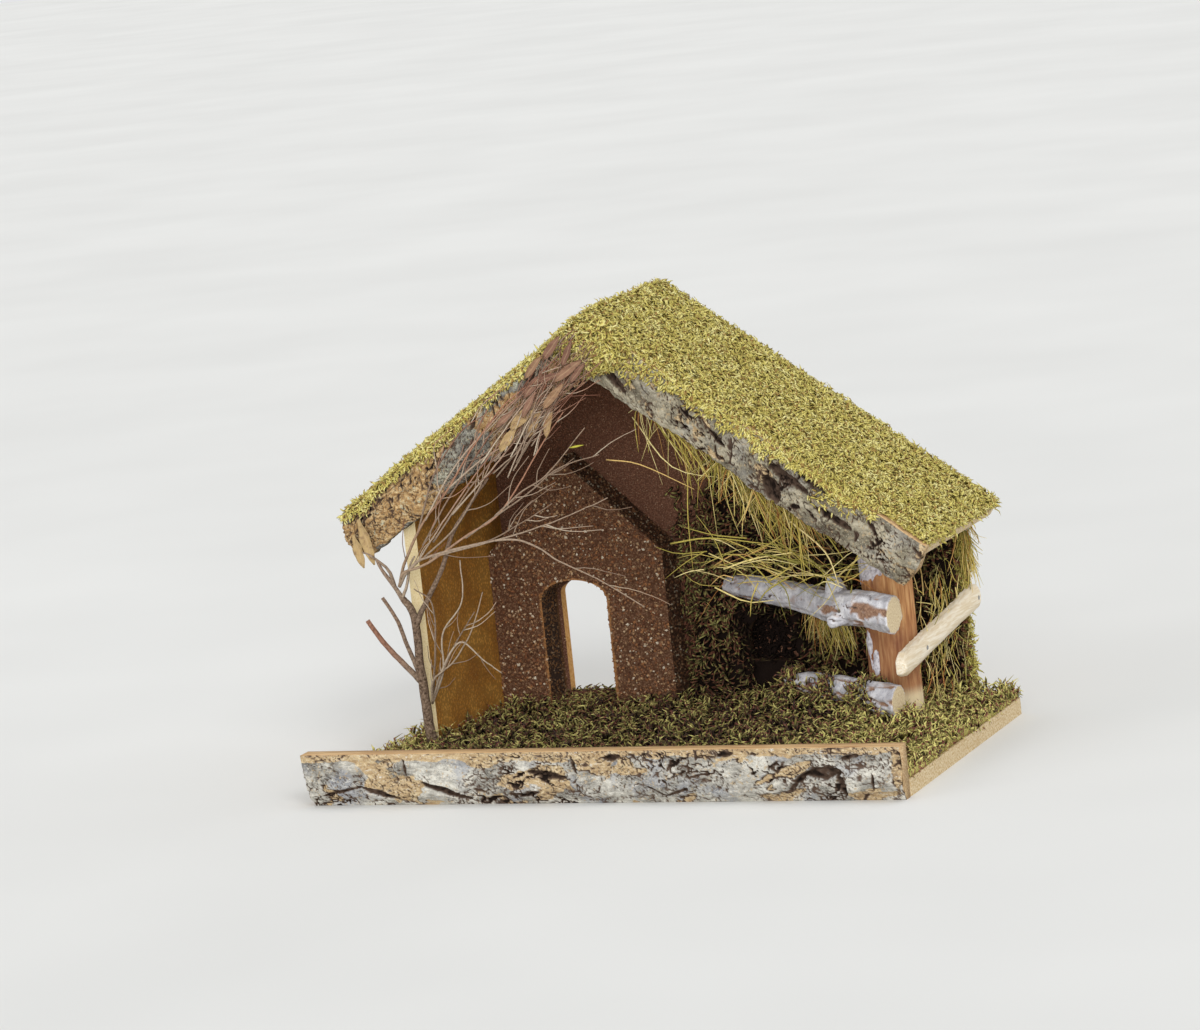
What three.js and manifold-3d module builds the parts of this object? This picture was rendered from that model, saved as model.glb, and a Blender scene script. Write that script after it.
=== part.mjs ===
// Nativity stable: an open timber shelter with a mossy roof on a mossy base board.
// Millimetres. X runs right, Y runs back, Z runs up from the table.
// Sizes below are measured from the base board's front left corner, as on the bench.
// The finished group is then moved so that its origin is under the middle of the base.
import * as THREE from 'three';
import { mergeVertices } from 'three/addons/utils/BufferGeometryUtils.js';
import Module from 'manifold-3d';

const wasm = await Module();
wasm.setup();

// Clearance between pieces that touch
const gap = 0.3;

// Base board
const baseWidth = 400;
const baseDepth = 233;
const baseThickness = 11;
const baseCornerRadius = 3;

// Slab of bark-covered wood along the front of the base
const plankOverhang = 18;
const plankHeight = 35;
const plankThickness = 14;
const plankEndSlant = 5;
const plankRimShare = 0.8;
const plankUndercut = 4;

// Walls
const wallInset = 26;
const wallThickness = 9;
const backThickness = 8;
const backInset = 35;

// House front inside the shelter, a foam block coated with cork granules
const facadeThickness = 27;
const facadeWidth = 130;
const facadeShoulder = 126;
const facadeApex = 192;
const facadeApexOffset = 61;

// Arched doorway through the house front and the back wall
const doorOffset = 61;
const doorWidth = 49;
const doorSill = 20;
const doorSpring = 93;
const doorRise = 14;
const doorRebate = 3;

// Roof boards
const ridgeX = 174.4;
const ridgeHeight = 299;
const leftPitch = THREE.MathUtils.degToRad(33.1);
const rightPitch = THREE.MathUtils.degToRad(35.5);
const leftSlopeLength = 225;
const rightSlopeLength = 270;
const roofThickness = 8;
const roofDepth = 144.7;
const roofRearOverhang = 1;

// Bark slabs on the front edges of the roof
const leftBarkThickness = 13;
const leftBarkWidth = 34;
const leftBarkRise = 2;
const rightBarkThickness = 11;
const rightBarkWidth = 31;
const rightBarkRise = 2;
const leftBarkOverrun = 6;
const leftBarkEndRound = 9;
const rightBarkOverrun = 4;
const rightBarkEndRound = 3;
const barkRelief = 1.2;
const barkTopWave = 0.8;
const barkBottomWave = 0.05;
const barkCrown = 0.92;
const barkRim = 0.45;

// Moss
const roofMossThickness = 6.5;
const groundMossThickness = 9.5;
const stallMossThickness = 12;
const edgeMossThickness = 5;
const apexMossWidth = 25;
const apexMossProud = 5;
const mossMoundHeight = 12;
const mossMoundReach = 24;
const mossRimShare = 0.55;
const mossRimWidth = 0.07;
const nicheWidth = 34;
const nicheHeight = 32;
const nicheSill = 44;
const nicheOffset = 50;

// Half-log post under the right side of the roof
const postInset = 52.5;
const postSetback = 95;
const postHalfWidth = 18;
const postDepth = 16;
const postRoughness = 0.03;

// Birch rails from the post to the back wall
const railSkew = THREE.MathUtils.degToRad(36.5);
const upperRailHeight = 98;
const upperRailRadius = 12.5;
const upperRailThinRadius = 9.2;
const upperRailTipRadius = 6.4;
const upperRailReach = 46;
const lowerRailHeight = 40;
const lowerRailRadius = 11;
const lowerRailThinRadius = 9;
const lowerRailLength = 128;
const lowerRailReach = 40;
const railRoughness = 0.06;
const railSeatDepth = 1.6;

// Peeled half-round stick along the right side
const sideRailHeight = 17;
const sideRailThickness = 8;
const sideRailFrontRise = 62;
const sideRailRearRise = 81;
const sideRailLead = 44;
const sideRailEndShare = 0.5;
const sideRailRoughness = 0.06;

// Dry branch set up as a tree in front of the left wall. Its places are written as numbers of
// branch steps: across the front from the trunk's foot, and up from the table.
const branchStep = 1;
const trunkRadius = 3.4;
const trunkInset = 33;
const trunkLead = 7;
const trunkLeanFrom = 40;
const trunkLeanTo = 120;
const twigStand = 3;

// Dry leaves
const leafThickness = 1.4;
const sprigFoot = [84, 236];
const sprigReach = 92;
const sprigLeafPairs = 6;
const broadLeafWidth = 6.5;
const narrowLeafWidth = 2.4;
const leafCup = 1.5;
const longEaveLeaf = 27;
const longEaveLeafInset = 19;
const shortEaveLeaf = 20;
const shortEaveLeafInset = 8;
const eaveLeafShare = 0.3;
const eaveLeafLean = 2;

// Hay
const hayStalkRadius = 0.7;
const hayCoreRadius = 6;
const hayStalks = 32;

// Wire brads
const bradRadius = 0.7;
const bradHeadRadius = 1.5;
const bradHeadThickness = 0.8;
const boardBradLength = 15;
const baseBradLength = 24;
const railBradBite = 8;
const sideBradLength = 17;

// Places worked out from the sizes above
const baseTop = baseThickness + gap;
const backFrontY = baseDepth - backThickness;
const facadeFrontY = backFrontY - gap - facadeThickness;
const roofRearY = baseDepth + roofRearOverhang;
const roofFrontY = roofRearY - roofDepth;
const wallInnerX = wallInset + wallThickness;
const facadeLeftX = wallInnerX + gap;
const facadeRightX = facadeLeftX + facadeWidth;
const backRightX = baseWidth - backInset;
const doorCentreX = facadeLeftX + doorOffset;
const postX = baseWidth - postInset;
const postRearY = baseDepth - postSetback;
const stallFrontY = backFrontY - gap - stallMossThickness;
const barkBackY = roofFrontY - gap;
const leftBarkFaceY = barkBackY - barkCrown * leftBarkThickness - barkRelief;
const rightBarkFaceY = barkBackY - barkCrown * rightBarkThickness - barkRelief;

const paint = {
  rawBoard: { color: 0xd9bd84, roughness: 0.8 },
  ochreBoard: { color: 0xa8742c, roughness: 0.85 },
  backBoard: { color: 0x6b4c3c, roughness: 0.9 },
  cork: { color: 0x4c2f1c, roughness: 0.95 },
  bark: { color: 0x8c8474, roughness: 0.95 },
  ochreBark: { color: 0x97794c, roughness: 0.95 },
  roofMoss: { color: 0xa8a83c, roughness: 1 },
  groundMoss: { color: 0x5c6322, roughness: 1 },
  birch: { color: 0xc9c6cf, roughness: 0.8 },
  postWood: { color: 0xa4683c, roughness: 0.8 },
  peeledWood: { color: 0xdcc79a, roughness: 0.7 },
  twig: { color: 0x7c6550, roughness: 0.9 },
  leaf: { color: 0x8a5138, roughness: 0.9 },
  hay: { color: 0xb3a53c, roughness: 0.9 },
  steel: { color: 0xa9abad, roughness: 0.35, metalness: 1 },
};

// A smooth, repeatable unevenness between -1 and 1
function uneven(a, b, phase = 0) {
  const broad = Math.sin(1.3 * a + 0.9 * b + phase);
  const cross = Math.sin(0.8 * a - 1.7 * b + 2.1 * phase + 1);
  const fine = Math.sin(3.1 * a + 2.3 * b + 0.7 * phase);
  return 0.45 * broad + 0.35 * cross + 0.2 * fine;
}

// Height of the underside of the roof boards over a place in X
function roofUnderside(x) {
  const pitch = x < ridgeX ? leftPitch : rightPitch;
  return ridgeHeight - Math.abs(x - ridgeX) * Math.tan(pitch) - roofThickness / Math.cos(pitch);
}

// One side of the roof. u runs down the slope from the ridge, w stands square to the boards.
function roofSide(sign, pitch, length) {
  const down = new THREE.Vector3(sign * Math.cos(pitch), 0, -Math.sin(pitch));
  const out = new THREE.Vector3(sign * Math.sin(pitch), 0, Math.cos(pitch));
  return {
    sign,
    pitch,
    length,
    out,
    at(u, y, w) {
      return new THREE.Vector3(ridgeX, y, ridgeHeight).addScaledVector(down, u).addScaledVector(out, w);
    },
    ridgeStart(w) {
      return (gap / 2 - w * Math.sin(pitch)) / Math.cos(pitch);
    },
  };
}

const leftSide = roofSide(-1, leftPitch, leftSlopeLength);
const rightSide = roofSide(1, rightPitch, rightSlopeLength);

// Closed geometry from points and triangles, turned so that its faces point out
function closedGeometry(points, faces) {
  let volume = 0;
  for (const [a, b, c] of faces) {
    volume += points[a].dot(points[b].clone().cross(points[c]));
  }
  const ordered = volume > 0 ? faces : faces.map(([a, b, c]) => [a, c, b]);
  const geometry = new THREE.BufferGeometry();
  geometry.setAttribute('position', new THREE.Float32BufferAttribute(points.flatMap((p) => p.toArray()), 3));
  geometry.setIndex(ordered.flat());
  return geometry;
}

// Skin over a row of rings that all have the same number of points, with a fan on each end
function loft(rings) {
  const count = rings[0].length;
  const points = rings.flat();
  const faces = [];
  for (let r = 0; r < rings.length - 1; r += 1) {
    for (let j = 0; j < count; j += 1) {
      const a = r * count + j;
      const b = r * count + ((j + 1) % count);
      faces.push([a, b, b + count], [a, b + count, a + count]);
    }
  }
  for (const last of [false, true]) {
    const start = last ? (rings.length - 1) * count : 0;
    const centre = new THREE.Vector3();
    for (let j = 0; j < count; j += 1) {
      centre.addScaledVector(points[start + j], 1 / count);
    }
    points.push(centre);
    const hub = points.length - 1;
    for (let j = 0; j < count; j += 1) {
      const a = start + j;
      const b = start + ((j + 1) % count);
      faces.push(last ? [hub, a, b] : [hub, b, a]);
    }
  }
  return closedGeometry(points, faces);
}

function toSolid(geometry) {
  const bare = geometry.index ? geometry.clone() : mergeVertices(geometry.clone());
  bare.deleteAttribute('normal');
  bare.deleteAttribute('uv');
  const merged = mergeVertices(bare, 1e-4);
  const index = merged.index.array;
  const triangles = [];
  for (let i = 0; i < index.length; i += 3) {
    const [a, b, c] = [index[i], index[i + 1], index[i + 2]];
    if (a !== b && b !== c && c !== a) {
      triangles.push(a, b, c);
    }
  }
  return new wasm.Manifold(new wasm.Mesh({
    numProp: 3,
    vertProperties: new Float32Array(merged.attributes.position.array),
    triVerts: new Uint32Array(triangles),
  }));
}

function toGeometry(solid) {
  const mesh = solid.getMesh();
  const geometry = new THREE.BufferGeometry();
  geometry.setAttribute('position', new THREE.Float32BufferAttribute(mesh.vertProperties, 3));
  geometry.setIndex(Array.from(mesh.triVerts));
  return geometry;
}

function cut(geometry, cutters) {
  return toGeometry(cutters.reduce((solid, cutter) => solid.subtract(toSolid(cutter)), toSolid(geometry)));
}

function join(geometries) {
  const [first, ...rest] = geometries;
  return toGeometry(rest.reduce((solid, piece) => solid.add(toSolid(piece)), toSolid(first)));
}

// A box given by its lowest and highest corners
function block([x0, y0, z0], [x1, y1, z1]) {
  const geometry = new THREE.BoxGeometry(x1 - x0, y1 - y0, z1 - z0);
  geometry.translate((x0 + x1) / 2, (y0 + y1) / 2, (z0 + z1) / 2);
  return geometry;
}

// A board standing across the stable: an outline in X and Z, given a thickness in Y
function standingBoard(shape, frontY, thickness) {
  const options = { depth: thickness, bevelEnabled: false, curveSegments: 10 };
  const geometry = new THREE.ExtrudeGeometry(shape, options);
  geometry.rotateX(Math.PI / 2);
  geometry.translate(0, frontY + thickness, 0);
  return geometry;
}

function outline(points) {
  return new THREE.Shape(points.map(([x, z]) => new THREE.Vector2(x, z)));
}

// A round stick along a smooth curve, thinning from one end to the other
function stick({ points, radii, sides = 6, steps = 8, roughness = 0, spare = 0, phase = 0 }) {
  const curve = new THREE.CatmullRomCurve3(points);
  const frames = curve.computeFrenetFrames(steps, false);
  const radiusCurve = new THREE.CatmullRomCurve3(radii.map((r, i) => new THREE.Vector3(i, r, 0)));
  const rings = [];
  for (let i = 0; i <= steps; i += 1) {
    const t = i / steps;
    const push = i === 0 ? -spare : i === steps ? spare : 0;
    const centre = curve.getPointAt(t).addScaledVector(frames.tangents[i], push);
    const radius = radiusCurve.getPoint(t).y;
    const ring = [];
    for (let j = 0; j < sides; j += 1) {
      const angle = (2 * Math.PI * j) / sides;
      const bump = roughness * uneven(9 * t, 2 * Math.sin(angle) + Math.cos(angle), phase);
      const r = radius * (1 + bump) + spare;
      ring.push(
        centre.clone()
          .addScaledVector(frames.normals[i], r * Math.cos(angle))
          .addScaledVector(frames.binormals[i], r * Math.sin(angle)),
      );
    }
    rings.push(ring);
  }
  return loft(rings);
}

// A pad with an uneven face on a flat four-sided ground: place(s, t) gives the ground,
// out its normal, and thickness(s, t) the height of the pad there
function mossPad({ place, out, thickness, columns, rows }) {
  const points = [];
  for (let j = 0; j <= rows; j += 1) {
    for (let i = 0; i <= columns; i += 1) {
      const s = i / columns;
      const t = j / rows;
      points.push(place(s, t).addScaledVector(out, thickness(s, t)));
    }
  }
  const faces = [];
  const at = (i, j) => j * (columns + 1) + i;
  for (let j = 0; j < rows; j += 1) {
    for (let i = 0; i < columns; i += 1) {
      faces.push([at(i, j), at(i + 1, j), at(i + 1, j + 1)], [at(i, j), at(i + 1, j + 1), at(i, j + 1)]);
    }
  }
  const rim = [];
  for (let i = 0; i < columns; i += 1) {
    rim.push([i, 0]);
  }
  for (let j = 0; j < rows; j += 1) {
    rim.push([columns, j]);
  }
  for (let i = columns; i > 0; i -= 1) {
    rim.push([i, rows]);
  }
  for (let j = rows; j > 0; j -= 1) {
    rim.push([0, j]);
  }
  const foot = rim.map(([i, j]) => points.push(place(i / columns, j / rows)) - 1);
  const hub = points.push(place(0.5, 0.5)) - 1;
  rim.forEach(([i, j], k) => {
    const next = (k + 1) % rim.length;
    const a = at(i, j);
    const b = at(rim[next][0], rim[next][1]);
    faces.push([a, foot[k], foot[next]], [a, foot[next], b], [hub, foot[next], foot[k]]);
  });
  return closedGeometry(points, faces);
}

// A moss pad thins from its full height to a share of it at its rim
function rimFade(s, t) {
  const edge = Math.min(s, 1 - s, t, 1 - t);
  return THREE.MathUtils.lerp(mossRimShare, 1, Math.min(1, edge / mossRimWidth));
}

// Both rails run the same way, from their seats in the post back to the stall's rear wall
const railAlong = new THREE.Vector3(Math.cos(railSkew), -Math.sin(railSkew), 0);
const railSquare = new THREE.Vector3(Math.sin(railSkew), Math.cos(railSkew), 0);

// Point on a rail's axis, a distance along it from where it passes the post
function railPoint(radius, height, along, rise = 0) {
  const postReach = Math.hypot(postHalfWidth * railSquare.x, postDepth * railSquare.y);
  const clear = postReach + radius - railSeatDepth;
  return new THREE.Vector3(postX, postRearY, height + rise)
    .addScaledVector(railSquare, -clear)
    .addScaledVector(railAlong, along);
}

// A wire brad and the hole that it needs, head outwards
function makeBrad(head, direction, length) {
  const profile = (spare, proud) => {
    const shank = bradRadius + spare;
    const rim = bradHeadRadius + spare;
    const tip = -length - spare;
    const step = -bradHeadThickness - spare;
    return [[0, tip], [shank, tip + 2 * shank], [shank, step], [rim, step], [rim, proud], [0, proud]];
  };
  const turn = new THREE.Quaternion().setFromUnitVectors(new THREE.Vector3(0, -1, 0), direction);
  const revolve = (spare, proud) => {
    const points = profile(spare, proud).map(([r, h]) => new THREE.Vector2(r, h));
    const geometry = new THREE.LatheGeometry(points, 6);
    geometry.applyQuaternion(turn);
    geometry.translate(head.x, head.y, head.z);
    return geometry;
  };
  return { solid: revolve(0, 0), hole: revolve(gap, 2 * bradHeadThickness) };
}

const up = new THREE.Vector3(0, 0, 1);

// Brads from below, through the base into whatever stands over the place
function baseBrad(x, y) {
  return makeBrad(new THREE.Vector3(x, y, gap), up, baseBradLength);
}

// Brads through a roof board, square to it
function roofBrad(side, u, y) {
  return makeBrad(side.at(u, y, -gap), side.out.clone().negate(), boardBradLength);
}

// Distance down a roof side at which a square brad ends up under a given X, half way in
function bradSlopePlace(side, x) {
  const depth = (roofThickness + boardBradLength) / 2;
  return (Math.abs(x - ridgeX) + depth * Math.sin(side.pitch)) / Math.cos(side.pitch);
}

// Where the side rail's flat side runs: past the post and on to the moss at the rear wall's end
const sideRailFrontY = postRearY - sideRailLead;
function sideRailPlace(y) {
  const postSeatX = postX + postHalfWidth + gap;
  const rearSeatX = backRightX + edgeMossThickness + 3 * gap;
  const x = postSeatX + ((rearSeatX - postSeatX) * (y - postRearY)) / (baseDepth - postRearY);
  const t = (y - sideRailFrontY) / (baseDepth - sideRailFrontY);
  return new THREE.Vector3(x, y, sideRailFrontRise + (sideRailRearRise - sideRailFrontRise) * t);
}

// Brads through the side rail, square to the end of what is behind it
function sideBrad(y) {
  const head = sideRailPlace(y).add(new THREE.Vector3(sideRailThickness - gap, 0, 0));
  return makeBrad(head, new THREE.Vector3(-1, 0, 0), sideBradLength);
}

// Brads through a rail into the post, square to the rail
function railBrad(radius, height) {
  const head = railPoint(radius, height, 0).addScaledVector(railSquare, gap - radius);
  return makeBrad(head, railSquare, 2 * radius + railBradBite);
}

const wallMidX = wallInset + wallThickness / 2;
const backMidY = baseDepth - backThickness / 2;
const postMidY = postRearY - postDepth / 3;
const wallSpanY = backFrontY - roofFrontY;
const brads = {
  base_brad_wall_front: baseBrad(wallMidX, roofFrontY + 0.2 * wallSpanY),
  base_brad_wall_rear: baseBrad(wallMidX, roofFrontY + 0.7 * wallSpanY),
  base_brad_back_left: baseBrad(facadeRightX, backMidY),
  base_brad_back_right: baseBrad(backRightX - backThickness, backMidY),
  base_brad_post: baseBrad(postX, postMidY),
  roof_brad_wall_front: roofBrad(leftSide, bradSlopePlace(leftSide, wallMidX), roofFrontY + 0.2 * wallSpanY),
  roof_brad_wall_rear: roofBrad(leftSide, bradSlopePlace(leftSide, wallMidX), roofFrontY + 0.7 * wallSpanY),
  roof_brad_back_left: roofBrad(leftSide, 0.35 * leftSlopeLength, backMidY),
  roof_brad_back_mid: roofBrad(rightSide, 0.25 * rightSlopeLength, backMidY),
  roof_brad_back_right: roofBrad(rightSide, 0.65 * rightSlopeLength, backMidY),
  rail_brad_upper: railBrad(upperRailRadius, upperRailHeight),
  rail_brad_lower: railBrad(lowerRailRadius, lowerRailHeight),
  side_brad_front: sideBrad(postMidY),
  side_brad_rear: sideBrad(backMidY),
};

const holes = (...names) => names.map((name) => brads[name].hole);

function baseBoard() {
  const r = baseCornerRadius;
  const shape = new THREE.Shape();
  shape.absarc(r, r, r, Math.PI, 1.5 * Math.PI);
  shape.absarc(baseWidth - r, r, r, 1.5 * Math.PI, 2 * Math.PI);
  shape.absarc(baseWidth - r, baseDepth - r, r, 0, 0.5 * Math.PI);
  shape.absarc(r, baseDepth - r, r, 0.5 * Math.PI, Math.PI);
  const options = { depth: baseThickness, bevelEnabled: false, curveSegments: 4 };
  const board = new THREE.ExtrudeGeometry(shape, options);
  const names = Object.keys(brads).filter((name) => name.startsWith('base_brad'));
  return cut(board, holes(...names));
}

// Sawn at the back, the top and the right end, with bark and a natural edge in front
function frontPlank() {
  const stations = 40;
  const facePoints = 8;
  const rings = [];
  for (let i = 0; i <= stations; i += 1) {
    const s = i / stations;
    const ring = [[-gap, 0], [-gap, plankHeight]];
    for (let j = 0; j <= facePoints; j += 1) {
      const q = j / facePoints;
      const bulge = THREE.MathUtils.lerp(plankRimShare, 1, Math.sin(Math.PI * (0.15 + 0.75 * q)));
      const relief = barkRelief * uneven(26 * s, 5 * q, 0.6) * Math.sin(Math.PI * q);
      const undercut = plankUndercut * THREE.MathUtils.smoothstep(q, 0.75, 1);
      ring.push([relief + undercut - plankThickness * bulge, plankHeight * (1 - q)]);
    }
    rings.push(ring.map(([y, z]) => {
      const slant = plankEndSlant * (1 - z / plankHeight) * Math.max(0, 1 - 10 * s);
      return new THREE.Vector3(-plankOverhang + (baseWidth + plankOverhang) * s + slant, y, z);
    }));
  }
  return loft(rings);
}

function leftWall() {
  const z = baseTop;
  const shape = outline([
    [wallInset, z],
    [wallInnerX, z],
    [wallInnerX, roofUnderside(wallInnerX) - gap],
    [wallInset, roofUnderside(wallInset) - gap],
  ]);
  const board = standingBoard(shape, roofFrontY, backFrontY - gap - roofFrontY);
  return cut(board, holes(
    'base_brad_wall_front', 'base_brad_wall_rear', 'roof_brad_wall_front', 'roof_brad_wall_rear',
  ));
}

// The doorway as a hole in an outline: straight jambs under a flattened arch
function doorway(halfWidth, sill, rise) {
  const path = new THREE.Path();
  path.moveTo(doorCentreX - halfWidth, sill);
  path.lineTo(doorCentreX + halfWidth, sill);
  path.lineTo(doorCentreX + halfWidth, doorSpring);
  path.absellipse(doorCentreX, doorSpring, halfWidth, rise, 0, Math.PI, false);
  path.lineTo(doorCentreX - halfWidth, sill);
  return path;
}

function backWall() {
  const shape = outline([
    [wallInset, baseTop],
    [backRightX, baseTop],
    [backRightX, roofUnderside(backRightX) - gap],
    [ridgeX, Math.min(roofUnderside(ridgeX), roofUnderside(ridgeX - gap)) - 2 * gap],
    [wallInset, roofUnderside(wallInset) - gap],
  ]);
  shape.holes.push(doorway(doorWidth / 2 - doorRebate, doorSill + doorRebate, doorRise - doorRebate));
  return cut(standingBoard(shape, backFrontY, backThickness), holes(
    'base_brad_back_left', 'base_brad_back_right',
    'roof_brad_back_left', 'roof_brad_back_mid', 'roof_brad_back_right', 'side_brad_rear',
  ));
}

function facadePanel() {
  const shape = outline([
    [facadeLeftX, baseTop],
    [facadeRightX, baseTop],
    [facadeRightX, facadeShoulder],
    [facadeLeftX + facadeApexOffset, facadeApex],
    [facadeLeftX, facadeShoulder],
  ]);
  shape.holes.push(doorway(doorWidth / 2, doorSill, doorRise));
  return standingBoard(shape, facadeFrontY, facadeThickness);
}

function roofBoard(side, bradNames) {
  const corners = [
    side.at(side.ridgeStart(0), 0, 0),
    side.at(side.length, 0, 0),
    side.at(side.length, 0, -roofThickness),
    side.at(side.ridgeStart(-roofThickness), 0, -roofThickness),
  ];
  const board = standingBoard(outline(corners.map((p) => [p.x, p.z])), roofFrontY, roofDepth);
  return cut(board, holes(...bradNames));
}

// Moss glued over a roof board, mitred at the ridge with its neighbour
function roofMoss(side, phase) {
  const start = side.ridgeStart(1.1 * roofMossThickness);
  return mossPad({
    columns: 18,
    rows: 10,
    out: side.out,
    place(s, t) {
      return side.at(start + (side.length - start) * s, roofFrontY + roofDepth * t, gap);
    },
    thickness(s, t) {
      const height = roofMossThickness * (0.9 + 0.1 * uneven(14 * s, 9 * t, phase));
      return height * rimFade(Math.max(s, 0.5), t);
    },
  });
}

// The moss pads stand square to the boards, so their ridge ends are trimmed upright
function trimmedRoofMoss(side, phase) {
  const tall = ridgeHeight + 4 * roofMossThickness;
  const far = 4 * roofMossThickness;
  const left = side.sign < 0 ? ridgeX - gap / 2 : ridgeX - far;
  const right = side.sign < 0 ? ridgeX + far : ridgeX + gap / 2;
  return cut(roofMoss(side, phase), [block([left, roofFrontY - far, 0], [right, roofRearY + far, tall])]);
}

const leftBark = {
  thickness: leftBarkThickness,
  width: leftBarkWidth,
  rise: leftBarkRise,
  overrun: leftBarkOverrun,
  roundEnd: leftBarkEndRound,
  phase: 1,
};
const rightBark = {
  thickness: rightBarkThickness,
  width: rightBarkWidth,
  rise: rightBarkRise,
  overrun: rightBarkOverrun,
  roundEnd: rightBarkEndRound,
  phase: 3,
};

// How far a bark slab's face stands in front of its back: s runs along it, q across it
function barkDepth({ thickness, phase }, s, q) {
  const crown = barkRim + (barkCrown - barkRim) * Math.sqrt(Math.sin(Math.PI * (0.06 + 0.88 * q)));
  return thickness * crown + barkRelief * uneven(22 * s, 6 * q, phase) * Math.sin(Math.PI * q);
}

// Bark slab on the front edge of a roof side. Its back is sawn and its face is bark.
function barkSlab(side, bark, spare = 0) {
  const stations = 26;
  const facePoints = 7;
  const rings = [];
  for (let i = 0; i <= stations; i += 1) {
    const s = i / stations;
    const top = bark.rise + barkTopWave * uneven(16 * s, 0, bark.phase) + spare;
    const width = bark.width * (1 + barkBottomWave * uneven(11 * s, 3, bark.phase));
    const bottom = bark.rise - width - spare;
    const ring = [[-spare, bottom], [-spare, top]];
    for (let j = 0; j <= facePoints; j += 1) {
      const q = j / facePoints;
      ring.push([barkDepth(bark, s, q) + spare, top + (bottom - top) * q]);
    }
    rings.push(ring.map(([depth, w]) => {
      const q = (top - w) / (top - bottom);
      const rounding = bark.roundEnd * (2 * q - 1) ** 2;
      const first = side.ridgeStart(w) - spare;
      const last = side.length + bark.overrun - rounding + spare;
      return side.at(first + (last - first) * s, barkBackY - depth, w);
    }));
  }
  return loft(rings);
}

// How far a rail is made past its reach, so that its slanted saw cut is a full one
function sawnOverrun(radius) {
  return 1.2 * radius * Math.tan(railSkew);
}

// Cutter for a rail's right end, which is sawn parallel to the side of the stable
function sawCut(radius, height, reach, spare) {
  const { x, y } = railPoint(radius, height, reach);
  const span = 3 * radius;
  return block([x + spare, y - span, height - span], [x + spare + span, y + span, height + span]);
}

function upperRailRoute() {
  const start = railPoint(upperRailRadius, upperRailHeight, 0);
  const tipY = stallFrontY - gap - upperRailTipRadius;
  const back = (tipY - start.y) / Math.sin(railSkew);
  const point = (along, rise) => railPoint(upperRailRadius, upperRailHeight, along, rise);
  const knobFoot = point(-0.12 * back, -1);
  const shootFoot = point(0.3 * upperRailReach, 1);
  const line = [
    point(-back, 0),
    point(-0.92 * back, 1),
    point(-0.75 * back, 2),
    point(-0.4 * back, 1),
    knobFoot,
    shootFoot,
    point(upperRailReach + sawnOverrun(upperRailRadius), 0),
  ];
  return { line, knobFoot, shootFoot, haySeat: point(-0.26 * back, 0) };
}

// Crooked branch, thick at the post and thin at the rear, with a knob and a broken side shoot
function upperRailShape(spare) {
  const { line, knobFoot, shootFoot } = upperRailRoute();
  const thin = upperRailThinRadius;
  const thick = upperRailRadius;
  const from = (point, x, y, z) => point.clone().add(new THREE.Vector3(x, y, z).multiplyScalar(thick));
  const log = stick({
    points: line,
    radii: [upperRailTipRadius, 0.95 * thin, thin, 1.05 * thin, 0.95 * thick, thick, thick],
    sides: 10,
    steps: 24,
    roughness: railRoughness,
    spare,
    phase: 2,
  });
  const knob = stick({
    points: [knobFoot, from(knobFoot, -0.1, 0, 1), from(knobFoot, -0.2, 0, 1.7)],
    radii: [0.9 * thin, 0.8 * thin, 0.4 * thin],
    sides: 7,
    steps: 4,
    spare,
  });
  const shootEnd = from(shootFoot, -0.5, -1.1, -0.7).addScaledVector(railAlong, -2 * thick);
  const shoot = stick({
    points: [shootFoot, shootFoot.clone().lerp(shootEnd, 0.6), shootEnd],
    radii: [0.7 * thin, 0.6 * thin, 0.4 * thin],
    sides: 7,
    steps: 5,
    spare,
  });
  return cut(join([log, knob, shoot]), [sawCut(thick, upperRailHeight, upperRailReach, spare)]);
}

function upperRail() {
  return cut(upperRailShape(0), holes('rail_brad_upper'));
}

function lowerRailShape(spare) {
  const point = (along, rise) => railPoint(lowerRailRadius, lowerRailHeight, along, rise);
  const log = stick({
    points: [
      point(lowerRailReach - lowerRailLength, 0),
      point(lowerRailReach - 0.55 * lowerRailLength, 1),
      point(lowerRailReach + sawnOverrun(lowerRailRadius), 0),
    ],
    radii: [0.7 * lowerRailThinRadius, lowerRailThinRadius, lowerRailRadius],
    sides: 10,
    steps: 16,
    roughness: railRoughness,
    spare,
    phase: 4,
  });
  return cut(log, [sawCut(lowerRailRadius, lowerRailHeight, lowerRailReach, spare)]);
}

function lowerRail() {
  return cut(lowerRailShape(0), holes('rail_brad_lower'));
}

// Half log with its flat side to the rear, cut to the slope of the roof and scribed for the rails
function rightPost() {
  const stations = 14;
  const arcPoints = 12;
  const rings = [];
  for (let i = 0; i <= stations; i += 1) {
    const t = i / stations;
    const ring = [];
    for (let j = 0; j <= arcPoints; j += 1) {
      const angle = Math.PI * (1 + j / arcPoints);
      const dent = 1 - postRoughness * (1 + uneven(6 * t, 3 * angle, 1.4)) * Math.abs(Math.sin(angle));
      const x = postX + postHalfWidth * dent * Math.cos(angle);
      const y = postRearY + postDepth * dent * Math.sin(angle);
      const top = roofUnderside(x) - gap;
      ring.push(new THREE.Vector3(x, y, baseTop + (top - baseTop) * t));
    }
    rings.push(ring);
  }
  return cut(loft(rings), [
    upperRailShape(gap),
    lowerRailShape(gap),
    ...holes('base_brad_post', 'rail_brad_upper', 'rail_brad_lower', 'side_brad_front'),
  ]);
}

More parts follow.
